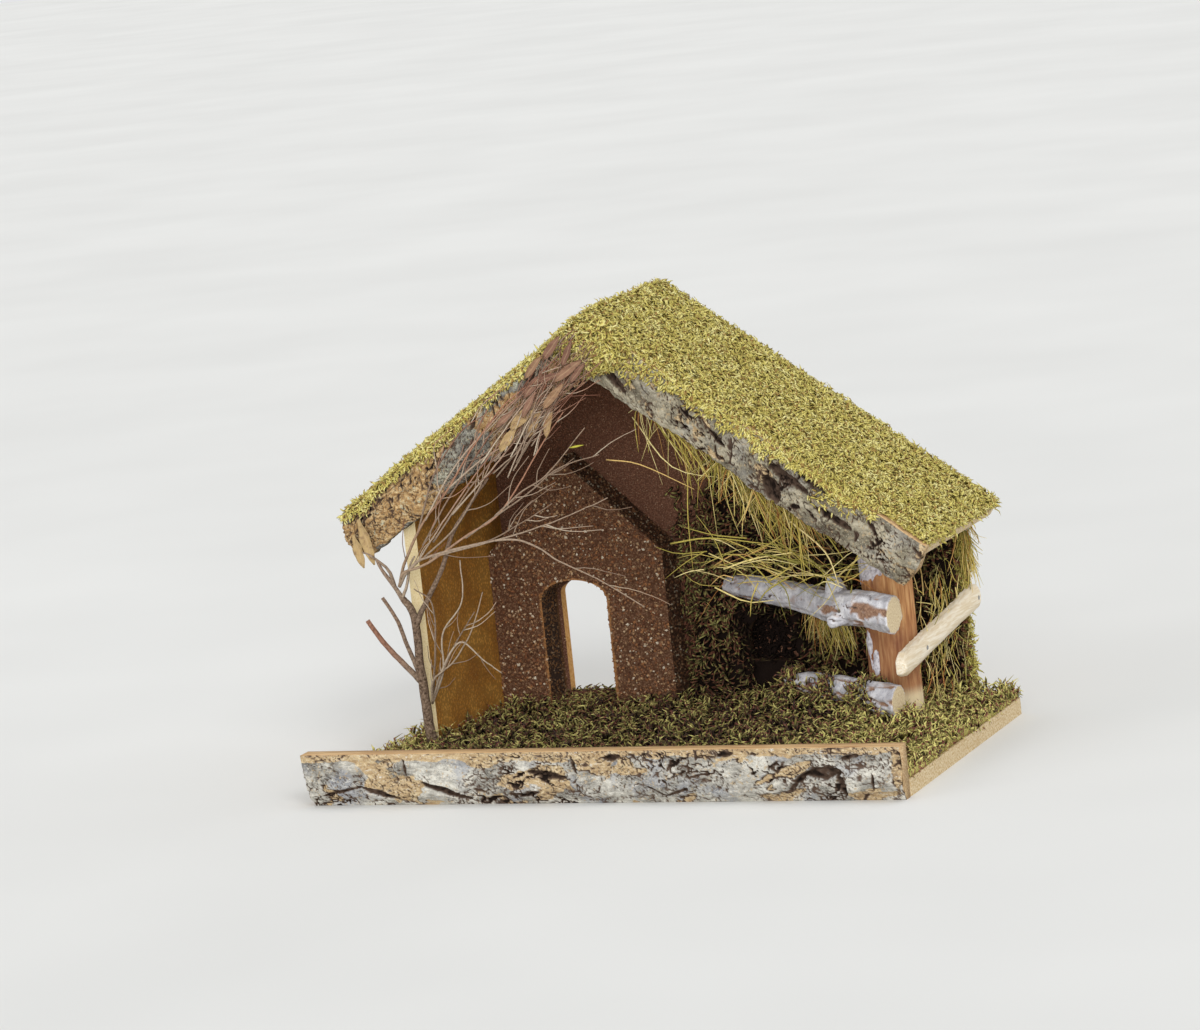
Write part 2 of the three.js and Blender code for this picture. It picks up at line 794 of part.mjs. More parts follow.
// Half-round stick with its flat sawn side inwards, against the post and the rear wall
function sideRail() {
  const frontY = sideRailFrontY;
  const steps = 14;
  const sides = 8;
  const rings = [];
  for (let i = 0; i <= steps; i += 1) {
    const t = (i / steps) ** 1.5;
    const y = frontY + (baseDepth - frontY) * t;
    const { x, z } = sideRailPlace(y);
    const fromRound = Math.max(0, 1 - (y - frontY) / (sideRailHeight / 2));
    const endRound = Math.max(sideRailEndShare, Math.sqrt(1 - fromRound ** 2));
    const half = (sideRailHeight / 2) * endRound * (1 + sideRailRoughness * uneven(9 * t, 0, 3));
    const ring = [];
    for (let j = 0; j <= sides; j += 1) {
      const angle = Math.PI * (j / sides - 0.5);
      const proud = j === 0 || j === sides ? 0 : sideRailThickness * Math.cos(angle) ** 0.6;
      ring.push(new THREE.Vector3(x + proud, y, z + half * Math.sin(angle)));
    }
    rings.push(ring);
  }
  return cut(loft(rings), holes('side_brad_front', 'side_brad_rear'));
}

// Layers of the dry branch, one in front of the other
const trunkFootY = roofFrontY - trunkLead;
const twigY = leftBarkFaceY - twigStand;
const twigRadius = 0.42 * trunkRadius;
const armRadius = 0.7 * trunkRadius;
const fanLayer = armRadius + twigRadius + gap;
const lowLayer = 2 * fanLayer;
const sprigLayer = fanLayer + 1.5 * twigRadius + gap;

// A place on the branch, counted in branch steps, in a layer that lies forward by a distance
function bend(across, high, forward = 0) {
  const lean = THREE.MathUtils.clamp((high - trunkLeanFrom) / (trunkLeanTo - trunkLeanFrom), 0, 1);
  const y = THREE.MathUtils.lerp(trunkFootY, twigY, lean) - forward;
  return new THREE.Vector3(trunkInset + across * branchStep, y, high * branchStep);
}

function trunk() {
  const foot = new THREE.Vector3(trunkInset, trunkFootY, baseTop);
  const stem = stick({
    points: [foot, bend(-1, 53), bend(0, 82), bend(1, 110), bend(-5, 122)],
    radii: [trunkRadius, 0.95 * trunkRadius, 0.9 * trunkRadius, 0.85 * trunkRadius, 0.7 * trunkRadius],
    sides: 8,
    steps: 11,
    roughness: 0.08,
  });
  const arms = [
    { bends: [[-1, 62], [-12, 76], [-24, 90], [-34, 107]], root: 0.9, tip: 0.72 },
    { bends: [[-2, 68], [-8, 91], [-12, 107], [-20, 123]], root: 0.7, tip: 0.5 },
    { bends: [[-4, 119], [-10, 130], [-17, 140], [-21, 148]], root: 0.8, tip: 0.4 },
    { bends: [[1, 102], [9, 115], [26, 141], [37, 165], [52, 184], [67, 201]], root: 1, tip: 0.4 },
  ].map(({ bends, root, tip }) => stick({
    points: bends.map(([x, z]) => bend(x, z)),
    radii: [root * armRadius, tip * armRadius],
    steps: 2 * bends.length,
  }));
  return join([stem, ...arms]);
}

// Twigs that grow from each other: each starts at a bend of an earlier one, or at the heel
function spray(heel, layer, routes) {
  const grown = [];
  for (const { on, bends } of routes) {
    const root = on ? grown[on[0]][on[1]] : heel;
    grown.push([root, ...bends.map(([x, z]) => bend(x, z, layer))]);
  }
  return join(grown.map((points, k) => stick({
    points,
    radii: [twigRadius * (routes[k].on ? 0.7 : 1), twigRadius * 0.4],
    sides: 5,
    steps: points.length + 1,
  })));
}

// Thin twigs that fan out to the right across the shelter's front
function twigFan() {
  const heel = bend(-10, 130).add(new THREE.Vector3(0.65 * armRadius + twigRadius + gap, 0, 0));
  return spray(heel, fanLayer, [
    { bends: [[4, 142], [22, 151], [75, 160], [97, 155], [114, 144], [139, 132], [170, 112]] },
    { on: [0, 2], bends: [[48, 163], [71, 175], [88, 193], [110, 222], [128, 243]] },
    { on: [0, 1], bends: [[18, 173], [37, 193], [60, 222], [90, 252], [118, 268]] },
    { on: [0, 3], bends: [[90, 171], [113, 183]] },
    { on: [0, 3], bends: [[110, 170], [153, 185]] },
    { on: [1, 2], bends: [[96, 190], [120, 206], [150, 214]] },
    { on: [1, 1], bends: [[58, 190], [72, 212], [86, 238]] },
    { on: [2, 1], bends: [[30, 205], [52, 232], [70, 243]] },
    { on: [2, 2], bends: [[66, 214], [100, 232], [134, 262]] },
    { on: [1, 3], bends: [[112, 203], [142, 232]] },
  ]);
}

// Low twigs in front of the left wall
function lowTwigs() {
  const heel = bend(-1, 48).add(new THREE.Vector3(trunkRadius + twigRadius, 0, 0));
  return spray(heel, lowLayer, [
    { bends: [[20, 72], [33, 92], [50, 113]] },
    { on: [0, 1], bends: [[24, 98], [42, 120], [44, 148]] },
    { on: [0, 2], bends: [[20, 118], [8, 130]] },
    { on: [0, 2], bends: [[50, 80], [62, 70]] },
  ]);
}

// A dry leaf: a thin pointed blade, cupped along its middle
function leaf(root, tip, width, cup) {
  const along = tip.clone().sub(root);
  const across = along.clone().cross(new THREE.Vector3(0, 1, 0)).normalize();
  const steps = 3;
  const rings = [];
  for (let i = 0; i <= steps; i += 1) {
    const t = i / steps;
    const half = (width / 2) * Math.sqrt(Math.sin(Math.PI * (0.04 + 0.92 * t)));
    const centre = root.clone().addScaledVector(along, t);
    centre.y -= cup * Math.sin(Math.PI * t);
    rings.push([
      centre.clone().addScaledVector(across, half),
      centre.clone().add(new THREE.Vector3(0, leafThickness / 2, 0)),
      centre.clone().addScaledVector(across, -half),
      centre.clone().add(new THREE.Vector3(0, -leafThickness / 2, 0)),
    ]);
  }
  return loft(rings);
}

// Leafy sprig in front of the left bark slab, close under the ridge
function leafySprig() {
  const [footX, footZ] = sprigFoot;
  const place = (along, across) => bend(
    footX + along * Math.cos(leftPitch) - across * Math.sin(leftPitch),
    footZ + along * Math.sin(leftPitch) + across * Math.cos(leftPitch),
    sprigLayer,
  );
  const parts = [stick({
    points: [place(0, 0), place(0.5 * sprigReach, 3), place(sprigReach, 0)],
    radii: [twigRadius, 0.5 * twigRadius],
    sides: 5,
    steps: 8,
  })];
  for (let k = 0; k < sprigLeafPairs; k += 1) {
    const along = THREE.MathUtils.lerp(0.12, 0.92, k / (sprigLeafPairs - 1)) * sprigReach;
    const side = k % 2 === 0 ? 1 : -1;
    const root = place(along, 2 * Math.sin((Math.PI * along) / sprigReach));
    parts.push(leaf(root, place(along + 20, side * 9), broadLeafWidth, leafCup));
    parts.push(leaf(root, place(along + 13, -side * 12), narrowLeafWidth, leafCup / 2));
  }
  return join(parts);
}

// Dry leaf hanging down from a place on the face of the left bark slab, near its lower end
function eaveLeaf(fromEnd, across, length) {
  const slabLength = leftSlopeLength + leftBark.overrun;
  const depth = barkDepth(leftBark, 1 - fromEnd / slabLength, across);
  const w = leftBarkRise - leftBarkWidth * across;
  const root = leftSide.at(slabLength - fromEnd, barkBackY - depth - leafThickness / 2 - gap, w);
  const tip = root.clone().add(new THREE.Vector3(0.15 * length, -eaveLeafLean, -length));
  return leaf(root, tip, eaveLeafShare * length, leafCup / 2);
}

// Stalks that stand out of a core lying along a route
function hayBunch({ from, to, core, stalks, reach, spread, phase }) {
  const parts = [stick({
    points: [from, from.clone().lerp(to, 0.5), to],
    radii: [0.7 * core, core, 0.7 * core],
    sides: 7,
    steps: 6,
    roughness: 0.04,
    phase,
  })];
  for (let k = 0; k < stalks; k += 1) {
    const t = (k + 0.5) / stalks;
    const root = from.clone().lerp(to, t);
    const turn = phase + 2.4 * k;
    const aim = spread(turn);
    const length = reach * (0.7 + 0.3 * Math.sin(1.7 * k + phase));
    const middle = root.clone().addScaledVector(aim, 0.55 * length);
    const tip = root.clone().addScaledVector(aim, length);
    tip.z -= 0.12 * length;
    parts.push(stick({
      points: [root, middle, tip],
      radii: [hayStalkRadius, 0.7 * hayStalkRadius],
      sides: 3,
      steps: 2,
    }));
  }
  return join(parts);
}

// Hay tucked under the right roof board, close behind the bark slab
function hayUnderRoof() {
  const y = roofFrontY + 2 * hayCoreRadius;
  const w = -roofThickness - gap - 1.04 * hayCoreRadius;
  const along = rightSide.at(1, 0, 0).sub(rightSide.at(0, 0, 0));
  return hayBunch({
    from: rightSide.at(0.26 * rightSlopeLength, y, w),
    to: rightSide.at(0.62 * rightSlopeLength, y, w),
    core: hayCoreRadius,
    stalks: hayStalks,
    reach: 5 * hayCoreRadius,
    phase: 0.4,
    spread(turn) {
      const sway = 0.25 * Math.sin(turn);
      const drop = new THREE.Vector3(sway - 0.3, 0.3 * Math.cos(turn), -sway - 0.55);
      return along.clone().multiplyScalar(0.7).add(drop).normalize();
    },
  });
}

// Hay hanging behind the upper rail
function hayBehindRail() {
  const { haySeat } = upperRailRoute();
  const middle = haySeat.addScaledVector(railSquare, upperRailThinRadius + 0.6 * hayCoreRadius);
  return cut(hayBunch({
    from: middle.clone().addScaledVector(railAlong, -2 * hayCoreRadius),
    to: middle.clone().addScaledVector(railAlong, 2 * hayCoreRadius),
    core: 0.7 * hayCoreRadius,
    stalks: Math.round(0.45 * hayStalks),
    reach: 6 * hayCoreRadius,
    phase: 3,
    spread(turn) {
      return new THREE.Vector3(0.45 * Math.sin(turn), 0.25 + 0.2 * Math.cos(turn), -0.9).normalize();
    },
  }), [upperRailShape(gap)]);
}

// Hay at the rear wall's right edge, in the room between the roof and the side rail
function haySide() {
  const x = backRightX + edgeMossThickness + 2 * gap + 0.52 * hayCoreRadius;
  const y = baseDepth - 0.7 * hayCoreRadius;
  const top = roofUnderside(x) - hayCoreRadius;
  const room = top - sideRailPlace(y).z - sideRailHeight / 2;
  return hayBunch({
    from: new THREE.Vector3(x, y, top),
    to: new THREE.Vector3(x, y, top - 0.47 * room),
    core: 0.5 * hayCoreRadius,
    stalks: Math.round(0.3 * hayStalks),
    reach: 0.3 * room,
    phase: 5,
    spread(turn) {
      return new THREE.Vector3(0.25 + 0.15 * Math.sin(turn), -0.35 + 0.2 * Math.cos(turn), -0.75).normalize();
    },
  });
}

// Moss bank on the rear wall of the stall, with a dark niche in it
function stallMoss() {
  const left = facadeRightX + gap;
  const right = backRightX;
  const leftTop = left + 0.24 * (right - left);
  const place = (s, t) => {
    const x = THREE.MathUtils.lerp(left + (leftTop - left) * t, right, s);
    const top = roofUnderside(THREE.MathUtils.lerp(leftTop, right, s)) - gap;
    return new THREE.Vector3(x, backFrontY - gap, THREE.MathUtils.lerp(baseTop, top, t));
  };
  const bank = mossPad({
    columns: 16,
    rows: 12,
    out: new THREE.Vector3(0, -1, 0),
    place,
    thickness(s, t) {
      const height = stallMossThickness * (0.84 - 0.2 * t + 0.16 * uneven(12 * s, 10 * t, 2.2));
      return height * rimFade(s, t);
    },
  });
  const nicheX = facadeRightX + nicheOffset;
  const halfWidth = nicheWidth / 2;
  const halfHeight = nicheHeight / 2;
  const shape = new THREE.Shape();
  shape.moveTo(nicheX, nicheSill);
  shape.lineTo(nicheX + nicheWidth, nicheSill);
  shape.absellipse(nicheX + halfWidth, nicheSill + halfHeight, halfWidth, halfHeight, 0, Math.PI, false);
  const niche = standingBoard(shape, stallFrontY - gap, stallMossThickness + 2 * gap);
  return cut(bank, [niche]);
}

// Moss strip on the right end of the rear wall
function edgeMoss() {
  const top = roofUnderside(backRightX + edgeMossThickness) - 2 * gap;
  return cut(mossPad({
    columns: 3,
    rows: 14,
    out: new THREE.Vector3(1, 0, 0),
    place: (s, t) => new THREE.Vector3(
      backRightX + gap,
      THREE.MathUtils.lerp(backFrontY, baseDepth, s),
      THREE.MathUtils.lerp(baseTop, top, t),
    ),
    thickness: (s, t) => edgeMossThickness * (0.92 + 0.08 * uneven(3 * s, 14 * t, 1)),
  }), holes('side_brad_rear'));
}

// Moss over the base board, mounded round the lower rail and cut round what stands on the board
function groundMoss() {
  const inset = (edge) => 1.2 + 0.8 * uneven(edge, 0, 1.1);
  const railMid = railPoint(lowerRailRadius, 0, lowerRailReach - lowerRailLength / 2);
  const pad = mossPad({
    columns: 27,
    rows: 16,
    out: up,
    place(s, t) {
      const x0 = inset(9 * t);
      const x1 = baseWidth - inset(9 * t + 2);
      const y1 = baseDepth - inset(14 * s);
      return new THREE.Vector3(x0 + (x1 - x0) * s, gap + (y1 - gap) * t, baseTop);
    },
    thickness(s, t) {
      const x = baseWidth * s;
      const y = baseDepth * t;
      const fromRail = new THREE.Vector3(x, y, 0).sub(railMid);
      const across = fromRail.dot(railSquare) / mossMoundReach;
      const along = Math.max(0, Math.abs(fromRail.dot(railAlong)) - lowerRailLength / 2) / mossMoundReach;
      const mound = mossMoundHeight * Math.exp(-(across ** 2) - along ** 2);
      const height = groundMossThickness * (0.85 + 0.15 * uneven(22 * s, 13 * t, 0.4));
      return (height + mound) * rimFade(s, t);
    },
  });
  const tall = baseTop + 4 * (groundMossThickness + mossMoundHeight);
  const low = baseThickness / 2;
  const trunkClear = trunkRadius * 1.1 + gap;
  const edgeMossRightX = backRightX + edgeMossThickness + 2 * gap;
  return cut(pad, [
    block([wallInset - gap, roofFrontY - gap, low], [wallInnerX + gap, baseDepth + gap, tall]),
    block([wallInset, facadeFrontY - gap, low], [facadeRightX + gap, baseDepth + gap, tall]),
    block([facadeRightX, stallFrontY - gap, low], [backRightX + gap, baseDepth + gap, tall]),
    block([backRightX, backFrontY - gap, low], [edgeMossRightX, baseDepth + gap, tall]),
    block(
      [postX - postHalfWidth - gap, postRearY - postDepth - gap, low],
      [postX + postHalfWidth + gap, postRearY + gap, tall],
    ),
    block(
      [trunkInset - trunkClear, trunkFootY - trunkClear, low],
      [trunkInset + trunkClear, trunkFootY + trunkClear, tall],
    ),
    lowerRailShape(gap),
  ]);
}

// Tuft of moss over the front of the ridge, moulded on the two bark slabs that meet there
function apexMoss() {
  const backY = barkBackY - 0.5 * Math.min(leftBarkThickness, rightBarkThickness);
  const faceY = Math.min(leftBarkFaceY, rightBarkFaceY) - apexMossProud;
  const centre = rightSide.at(0.55 * apexMossWidth, backY, -0.4 * apexMossWidth);
  const rings = [];
  const levels = 5;
  const count = 16;
  for (let i = 0; i <= levels; i += 1) {
    const lift = (Math.PI / 2) * (i / levels) * 0.92;
    const ring = [];
    for (let j = 0; j < count; j += 1) {
      const angle = (2 * Math.PI * j) / count;
      const r = apexMossWidth * Math.cos(lift) ** 0.4 * (1 + 0.12 * uneven(2 * i, 3 * angle, 0.5));
      ring.push(new THREE.Vector3(
        centre.x + r * Math.cos(angle),
        backY + (faceY - backY) * Math.sin(lift),
        centre.z + 0.72 * r * Math.sin(angle),
      ));
    }
    rings.push(ring);
  }
  return cut(loft(rings), [barkSlab(leftSide, leftBark, gap), barkSlab(rightSide, rightBark, gap)]);
}

const stable = new THREE.Group();
stable.position.set(-baseWidth / 2, -baseDepth / 2, 0);

function add(name, geometry, finish) {
  const mesh = new THREE.Mesh(toGeometry(toSolid(geometry)), new THREE.MeshStandardMaterial(finish));
  mesh.name = name;
  stable.add(mesh);
}

add('base_board', baseBoard(), paint.rawBoard);
add('front_bark_plank', frontPlank(), paint.bark);
add('left_wall', leftWall(), paint.ochreBoard);
add('back_wall', backWall(), paint.backBoard);
add('facade_panel', facadePanel(), paint.cork);
add('roof_left_board', roofBoard(leftSide, [
  'roof_brad_wall_front', 'roof_brad_wall_rear', 'roof_brad_back_left',
]), paint.rawBoard);
add('roof_right_board', roofBoard(rightSide, ['roof_brad_back_mid', 'roof_brad_back_right']), paint.rawBoard);
add('roof_left_moss', trimmedRoofMoss(leftSide, 0.3), paint.roofMoss);
add('roof_right_moss', trimmedRoofMoss(rightSide, 1.9), paint.roofMoss);
add('roof_left_bark', barkSlab(leftSide, leftBark), paint.ochreBark);
add('roof_right_bark', barkSlab(rightSide, rightBark), paint.bark);
add('apex_moss', apexMoss(), paint.roofMoss);
add('ground_moss', groundMoss(), paint.groundMoss);
add('stall_moss', stallMoss(), paint.groundMoss);
add('edge_moss', edgeMoss(), paint.groundMoss);
add('right_post', rightPost(), paint.postWood);
add('upper_rail', upperRail(), paint.birch);
add('lower_rail', lowerRail(), paint.birch);
add('side_rail', sideRail(), paint.peeledWood);
add('tree_trunk', trunk(), paint.twig);
add('tree_twigs', twigFan(), paint.twig);
add('low_twigs', lowTwigs(), paint.twig);
add('leafy_sprig', leafySprig(), paint.leaf);
add('eave_leaf_long', eaveLeaf(longEaveLeafInset, 0.45, longEaveLeaf), paint.leaf);
add('eave_leaf_short', eaveLeaf(shortEaveLeafInset, 0.5, shortEaveLeaf), paint.leaf);
add('hay_under_roof', hayUnderRoof(), paint.hay);
add('hay_behind_rail', hayBehindRail(), paint.hay);
add('hay_side', haySide(), paint.hay);
for (const [name, { solid }] of Object.entries(brads)) {
  add(name, solid, paint.steel);
}

export default stable;
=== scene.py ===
import itertools
import math
from typing import NamedTuple

import bmesh
import bpy
import numpy as np
from mathutils import Matrix, Vector


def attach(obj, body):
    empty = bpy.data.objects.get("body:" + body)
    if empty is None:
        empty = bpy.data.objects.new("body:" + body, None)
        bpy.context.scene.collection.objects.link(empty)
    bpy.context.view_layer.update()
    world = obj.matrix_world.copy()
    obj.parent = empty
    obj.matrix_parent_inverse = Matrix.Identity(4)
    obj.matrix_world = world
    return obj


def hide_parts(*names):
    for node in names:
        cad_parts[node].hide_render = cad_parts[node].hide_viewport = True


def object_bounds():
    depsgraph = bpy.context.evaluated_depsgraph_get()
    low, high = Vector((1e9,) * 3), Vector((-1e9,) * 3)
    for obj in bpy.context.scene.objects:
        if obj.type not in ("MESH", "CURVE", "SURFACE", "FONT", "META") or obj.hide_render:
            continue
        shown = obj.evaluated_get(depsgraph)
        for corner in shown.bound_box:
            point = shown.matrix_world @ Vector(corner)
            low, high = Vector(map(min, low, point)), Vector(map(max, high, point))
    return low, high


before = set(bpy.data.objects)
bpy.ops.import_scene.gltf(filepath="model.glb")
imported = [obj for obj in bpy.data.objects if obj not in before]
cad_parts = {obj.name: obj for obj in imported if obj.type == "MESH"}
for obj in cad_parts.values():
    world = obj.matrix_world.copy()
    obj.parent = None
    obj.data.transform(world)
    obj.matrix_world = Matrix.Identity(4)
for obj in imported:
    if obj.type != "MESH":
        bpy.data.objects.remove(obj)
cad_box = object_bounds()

# Nativity stable, in millimetres from the base board's front left corner, as in the part's source
BENCH = np.array([200.0, 116.5, 0.0])   # the bench place of the frame's origin
BOX_LOW, BOX_HIGH = (np.array(corner) * 1000 + BENCH for corner in cad_box)
GAP = 0.3

BASE_WIDTH, BASE_TOP = 400.0, 11.3
PLANK_OVERHANG, PLANK_HEIGHT, PLANK_THICKNESS, PLANK_END_SLANT = 18.0, 35.0, 14.0, 5.0
RIDGE_X, RIDGE_HEIGHT = 174.4, 299.0
ROOF_THICKNESS = 8.0
BARK_BACK = 89.0        # the plane where the bark slabs meet the roof boards' front edges
SLAB_RISE = 2.0         # how far the slabs stand above the boards
REAR_WALL_Y = 225.0
NICHE_X, NICHE_HALF, NICHE_Z, NICHE_HIGH = 233.2, 17.0, 60.0, 16.0
DOOR_X, DOOR_HALF, DOOR_SPRING, DOOR_RISE = 96.3, 24.5, 93.0, 14.0
POST_X, POST_REAR, POST_HALF, POST_DEPTH = 347.5, 138.0, 18.0, 16.0
RAIL_SKEW = math.radians(36.5)
RAIL_ALONG = np.array([math.cos(RAIL_SKEW), -math.sin(RAIL_SKEW), 0.0])
RAIL_SQUARE = np.array([math.sin(RAIL_SKEW), math.cos(RAIL_SKEW), 0.0])
RAIL_SEAT = 1.6
UPPER_RAIL, LOWER_RAIL = (12.5, 98, 46, 81), (11, 40, 40, 91)   # radius, height, length past the post, seed
TRUNK_X, TRUNK_Y, TWIG_Y = 33.0, 82.3, 72.84
UP, FORWARD = np.array([0.0, 0.0, 1.0]), np.array([0.0, -1.0, 0.0])


# Noise

def hashed(cell, seed):
    """A repeatable number from 0 to 1 for each row of whole numbers."""
    h = cell[:, 0] * 374761393 + cell[:, 1] * 668265263 + cell[:, 2] * 1442695041 + seed * 1274126177
    h = h & 0xFFFFFFFF
    h = ((h ^ (h >> 13)) * 1274126177) & 0xFFFFFFFF
    h = h ^ (h >> 16)
    return (h & 0xFFFFFF) / 0xFFFFFF


def noise(p, seed=0):
    """Smooth noise from -1 to 1."""
    cell = np.floor(p).astype(np.int64)
    f = p - cell
    f = f * f * (3 - 2 * f)
    total = np.zeros(len(p))
    for corner in itertools.product((0, 1), repeat=3):
        weight = np.prod([f[:, i] if c else 1 - f[:, i] for i, c in enumerate(corner)], axis=0)
        total += weight * hashed(cell + np.array(corner), seed)
    return 2 * total - 1


def fbm(p, octaves=4, seed=0):
    total, size = np.zeros(len(p)), 0.5
    for octave in range(octaves):
        total += size * noise(p * 2.03 ** octave, seed + 11 * octave)
        size *= 0.5
    return total


def cells(p, seed=0):
    """Distances to the nearest and second nearest cell points, and a number for the nearest cell."""
    home = np.floor(p).astype(np.int64)
    near = np.full(len(p), 9.0)
    second = near.copy()
    tone = np.zeros(len(p))
    for step in itertools.product((-1, 0, 1), repeat=3):
        c = home + np.array(step)
        spot = c + np.stack([hashed(c, seed + k) for k in (1, 2, 3)], axis=1)
        d = np.linalg.norm(p - spot, axis=1)
        closer = d < near
        second = np.where(closer, near, np.minimum(second, d))
        tone = np.where(closer, hashed(c, seed + 7), tone)
        near = np.where(closer, d, near)
    return near, second, tone


def ease(x, low, high):
    t = np.clip((x - low) / (high - low), 0, 1)
    return t * t * (3 - 2 * t)


def uneven(a, b, phase=0.0):
    """The same unevenness as in the part's source."""
    broad = np.sin(1.3 * a + 0.9 * b + phase)
    cross = np.sin(0.8 * a - 1.7 * b + 2.1 * phase + 1)
    fine = np.sin(3.1 * a + 2.3 * b + 0.7 * phase)
    return 0.45 * broad + 0.35 * cross + 0.2 * fine


def unit(v):
    return v / np.maximum(np.linalg.norm(v, axis=-1, keepdims=True), 1e-9)


# Meshes

class Soup:
    """Points and triangles gathered piece by piece, with numbers for the materials on each point."""

    def __init__(self, *names):
        self.names = names
        self.points, self.faces, self.slots = [], [], []
        self.numbers = {name: [] for name in names}
        self.count = 0

    def add(self, points, faces, slot=0, **numbers):
        self.points.append(points)
        self.faces.append(faces + self.count)
        self.slots.append(np.full(len(faces), slot) if np.isscalar(slot) else slot)
        for name in self.names:
            value = numbers.get(name, 0.0)
            self.numbers[name].append(np.broadcast_to(value, (len(points),)).astype(float))
        self.count += len(points)

    def build(self, name, materials, smooth=True):
        points = np.concatenate(self.points)
        faces = np.concatenate(self.faces).astype(np.int32)
        mesh = bpy.data.meshes.new(name)
        mesh.vertices.add(len(points))
        mesh.vertices.foreach_set("co", ((points - BENCH) / 1000).astype(np.float32).ravel())
        mesh.loops.add(faces.size)
        mesh.loops.foreach_set("vertex_index", faces.ravel())
        mesh.polygons.add(len(faces))
        mesh.polygons.foreach_set("loop_start", np.arange(0, faces.size, 3, dtype=np.int32))
        for material in materials:
            mesh.materials.append(material)
        mesh.polygons.foreach_set("material_index", np.concatenate(self.slots).astype(np.int32))
        mesh.polygons.foreach_set("use_smooth", np.full(len(faces), smooth))
        mesh.update(calc_edges=True)
        for number in self.names:
            layer = mesh.attributes.new(number, "FLOAT", "POINT")
            layer.data.foreach_set("value", np.concatenate(self.numbers[number]).astype(np.float32))
        thing = bpy.data.objects.new(name, mesh)
        bpy.context.scene.collection.objects.link(thing)
        return thing


def show(soup, name, materials, node):
    """Builds a piece that stands in for a CAD node."""
    piece = soup.build(name, materials)
    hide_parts(node)
    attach(piece, "root")


def mesh_arrays(mesh):
    """Points and triangles of a mesh, in bench millimetres."""
    mesh.calc_loop_triangles()
    points = np.empty(3 * len(mesh.vertices))
    mesh.vertices.foreach_get("co", points)
    faces = np.empty(3 * len(mesh.loop_triangles), dtype=np.int32)
    mesh.loop_triangles.foreach_get("vertices", faces)
    return points.reshape(-1, 3) * 1000 + BENCH, faces.reshape(-1, 3)


def remeshed(node, size):
    """An even skin over a CAD node, with points about a size apart: points, triangles, normals."""
    copy = bpy.data.objects.new("skin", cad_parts[node].data.copy())
    bpy.context.scene.collection.objects.link(copy)
    modifier = copy.modifiers.new("even", "REMESH")
    modifier.mode = "VOXEL"
    modifier.voxel_size = size / 1000
    shown = copy.evaluated_get(bpy.context.evaluated_depsgraph_get())
    mesh = shown.to_mesh()
    points, faces = mesh_arrays(mesh)
    normals = np.empty(3 * len(mesh.vertices))
    mesh.vertices.foreach_get("normal", normals)
    shown.to_mesh_clear()
    bpy.data.meshes.remove(copy.data)
    return points, faces, normals.reshape(-1, 3)


def split(node, cuts):
    """A CAD node with each edge cut up: points, triangles, normals."""
    mesh = bmesh.new()
    mesh.from_mesh(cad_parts[node].data)
    bmesh.ops.remove_doubles(mesh, verts=mesh.verts, dist=1e-6)
    bmesh.ops.subdivide_edges(mesh, edges=mesh.edges[:], cuts=cuts, use_grid_fill=True)
    bmesh.ops.triangulate(mesh, faces=mesh.faces[:])
    mesh.normal_update()
    points = np.array([v.co[:] for v in mesh.verts]) * 1000 + BENCH
    normals = np.array([v.normal[:] for v in mesh.verts])
    faces = np.array([[v.index for v in f.verts] for f in mesh.faces])
    mesh.free()
    return points, faces, normals


def scatter(node, count, rng, keep):
    """Random places on the faces of a CAD node whose normal and middle pass a test."""
    points, faces = mesh_arrays(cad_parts[node].data)
    a, b, c = (points[faces[:, k]] for k in range(3))
    cross = np.cross(b - a, c - a)
    area = np.linalg.norm(cross, axis=1) / 2
    normals = unit(cross)
    area = np.where(keep(normals, (a + b + c) / 3), area, 0)
    pick = rng.choice(len(faces), count, p=area / area.sum())
    r, s = np.sqrt(rng.random(count)), rng.random(count)
    places = (1 - r)[:, None] * a[pick] + (r * (1 - s))[:, None] * b[pick] + (r * s)[:, None] * c[pick]
    return places, normals[pick]


def even_scatter(node, spacing, rng, keep, tries=24000):
    """Places as scatter gives them, thinned to one in each cell of a grid, so that no bare patch stays."""
    places, normals = scatter(node, tries, rng, keep)
    _, first = np.unique(np.floor(places / spacing).astype(int), axis=0, return_index=True)
    return places[first], normals[first]


def lofted(rings):
    """Triangles between rings of points, (rings, points in a ring), with a fan on each end."""
    rows, count = rings.shape[:2]
    points = np.concatenate([rings.reshape(-1, 3), rings[:1].mean(axis=1), rings[-1:].mean(axis=1)])
    r, j = np.meshgrid(np.arange(rows - 1), np.arange(count), indexing="ij")
    a = (r * count + j).ravel()
    b = (r * count + (j + 1) % count).ravel()
    side = np.concatenate([np.stack([a, b, b + count], 1), np.stack([a, b + count, a + count], 1)])
    j = np.arange(count)
    k = (j + 1) % count
    first = np.stack([np.full(count, rows * count), k, j], 1)
    start = (rows - 1) * count
    last = np.stack([np.full(count, rows * count + 1), start + j, start + k], 1)
    return points, side, first, last


def smooth_line(points, steps):
    """Evenly spread places on a smooth line through points."""
    points = np.asarray(points, dtype=float)
    padded = np.concatenate([[2 * points[0] - points[1]], points, [2 * points[-1] - points[-2]]])
    t = np.linspace(0, len(points) - 1, steps + 1)
    i = np.minimum(t.astype(int), len(points) - 2)
    f = (t - i)[:, None]
    p0, p1, p2, p3 = (padded[i + k] for k in range(4))
    return 0.5 * (2 * p1 + (p2 - p0) * f + (2 * p0 - 5 * p1 + 4 * p2 - p3) * f ** 2
                  + (3 * p1 - p0 - 3 * p2 + p3) * f ** 3)


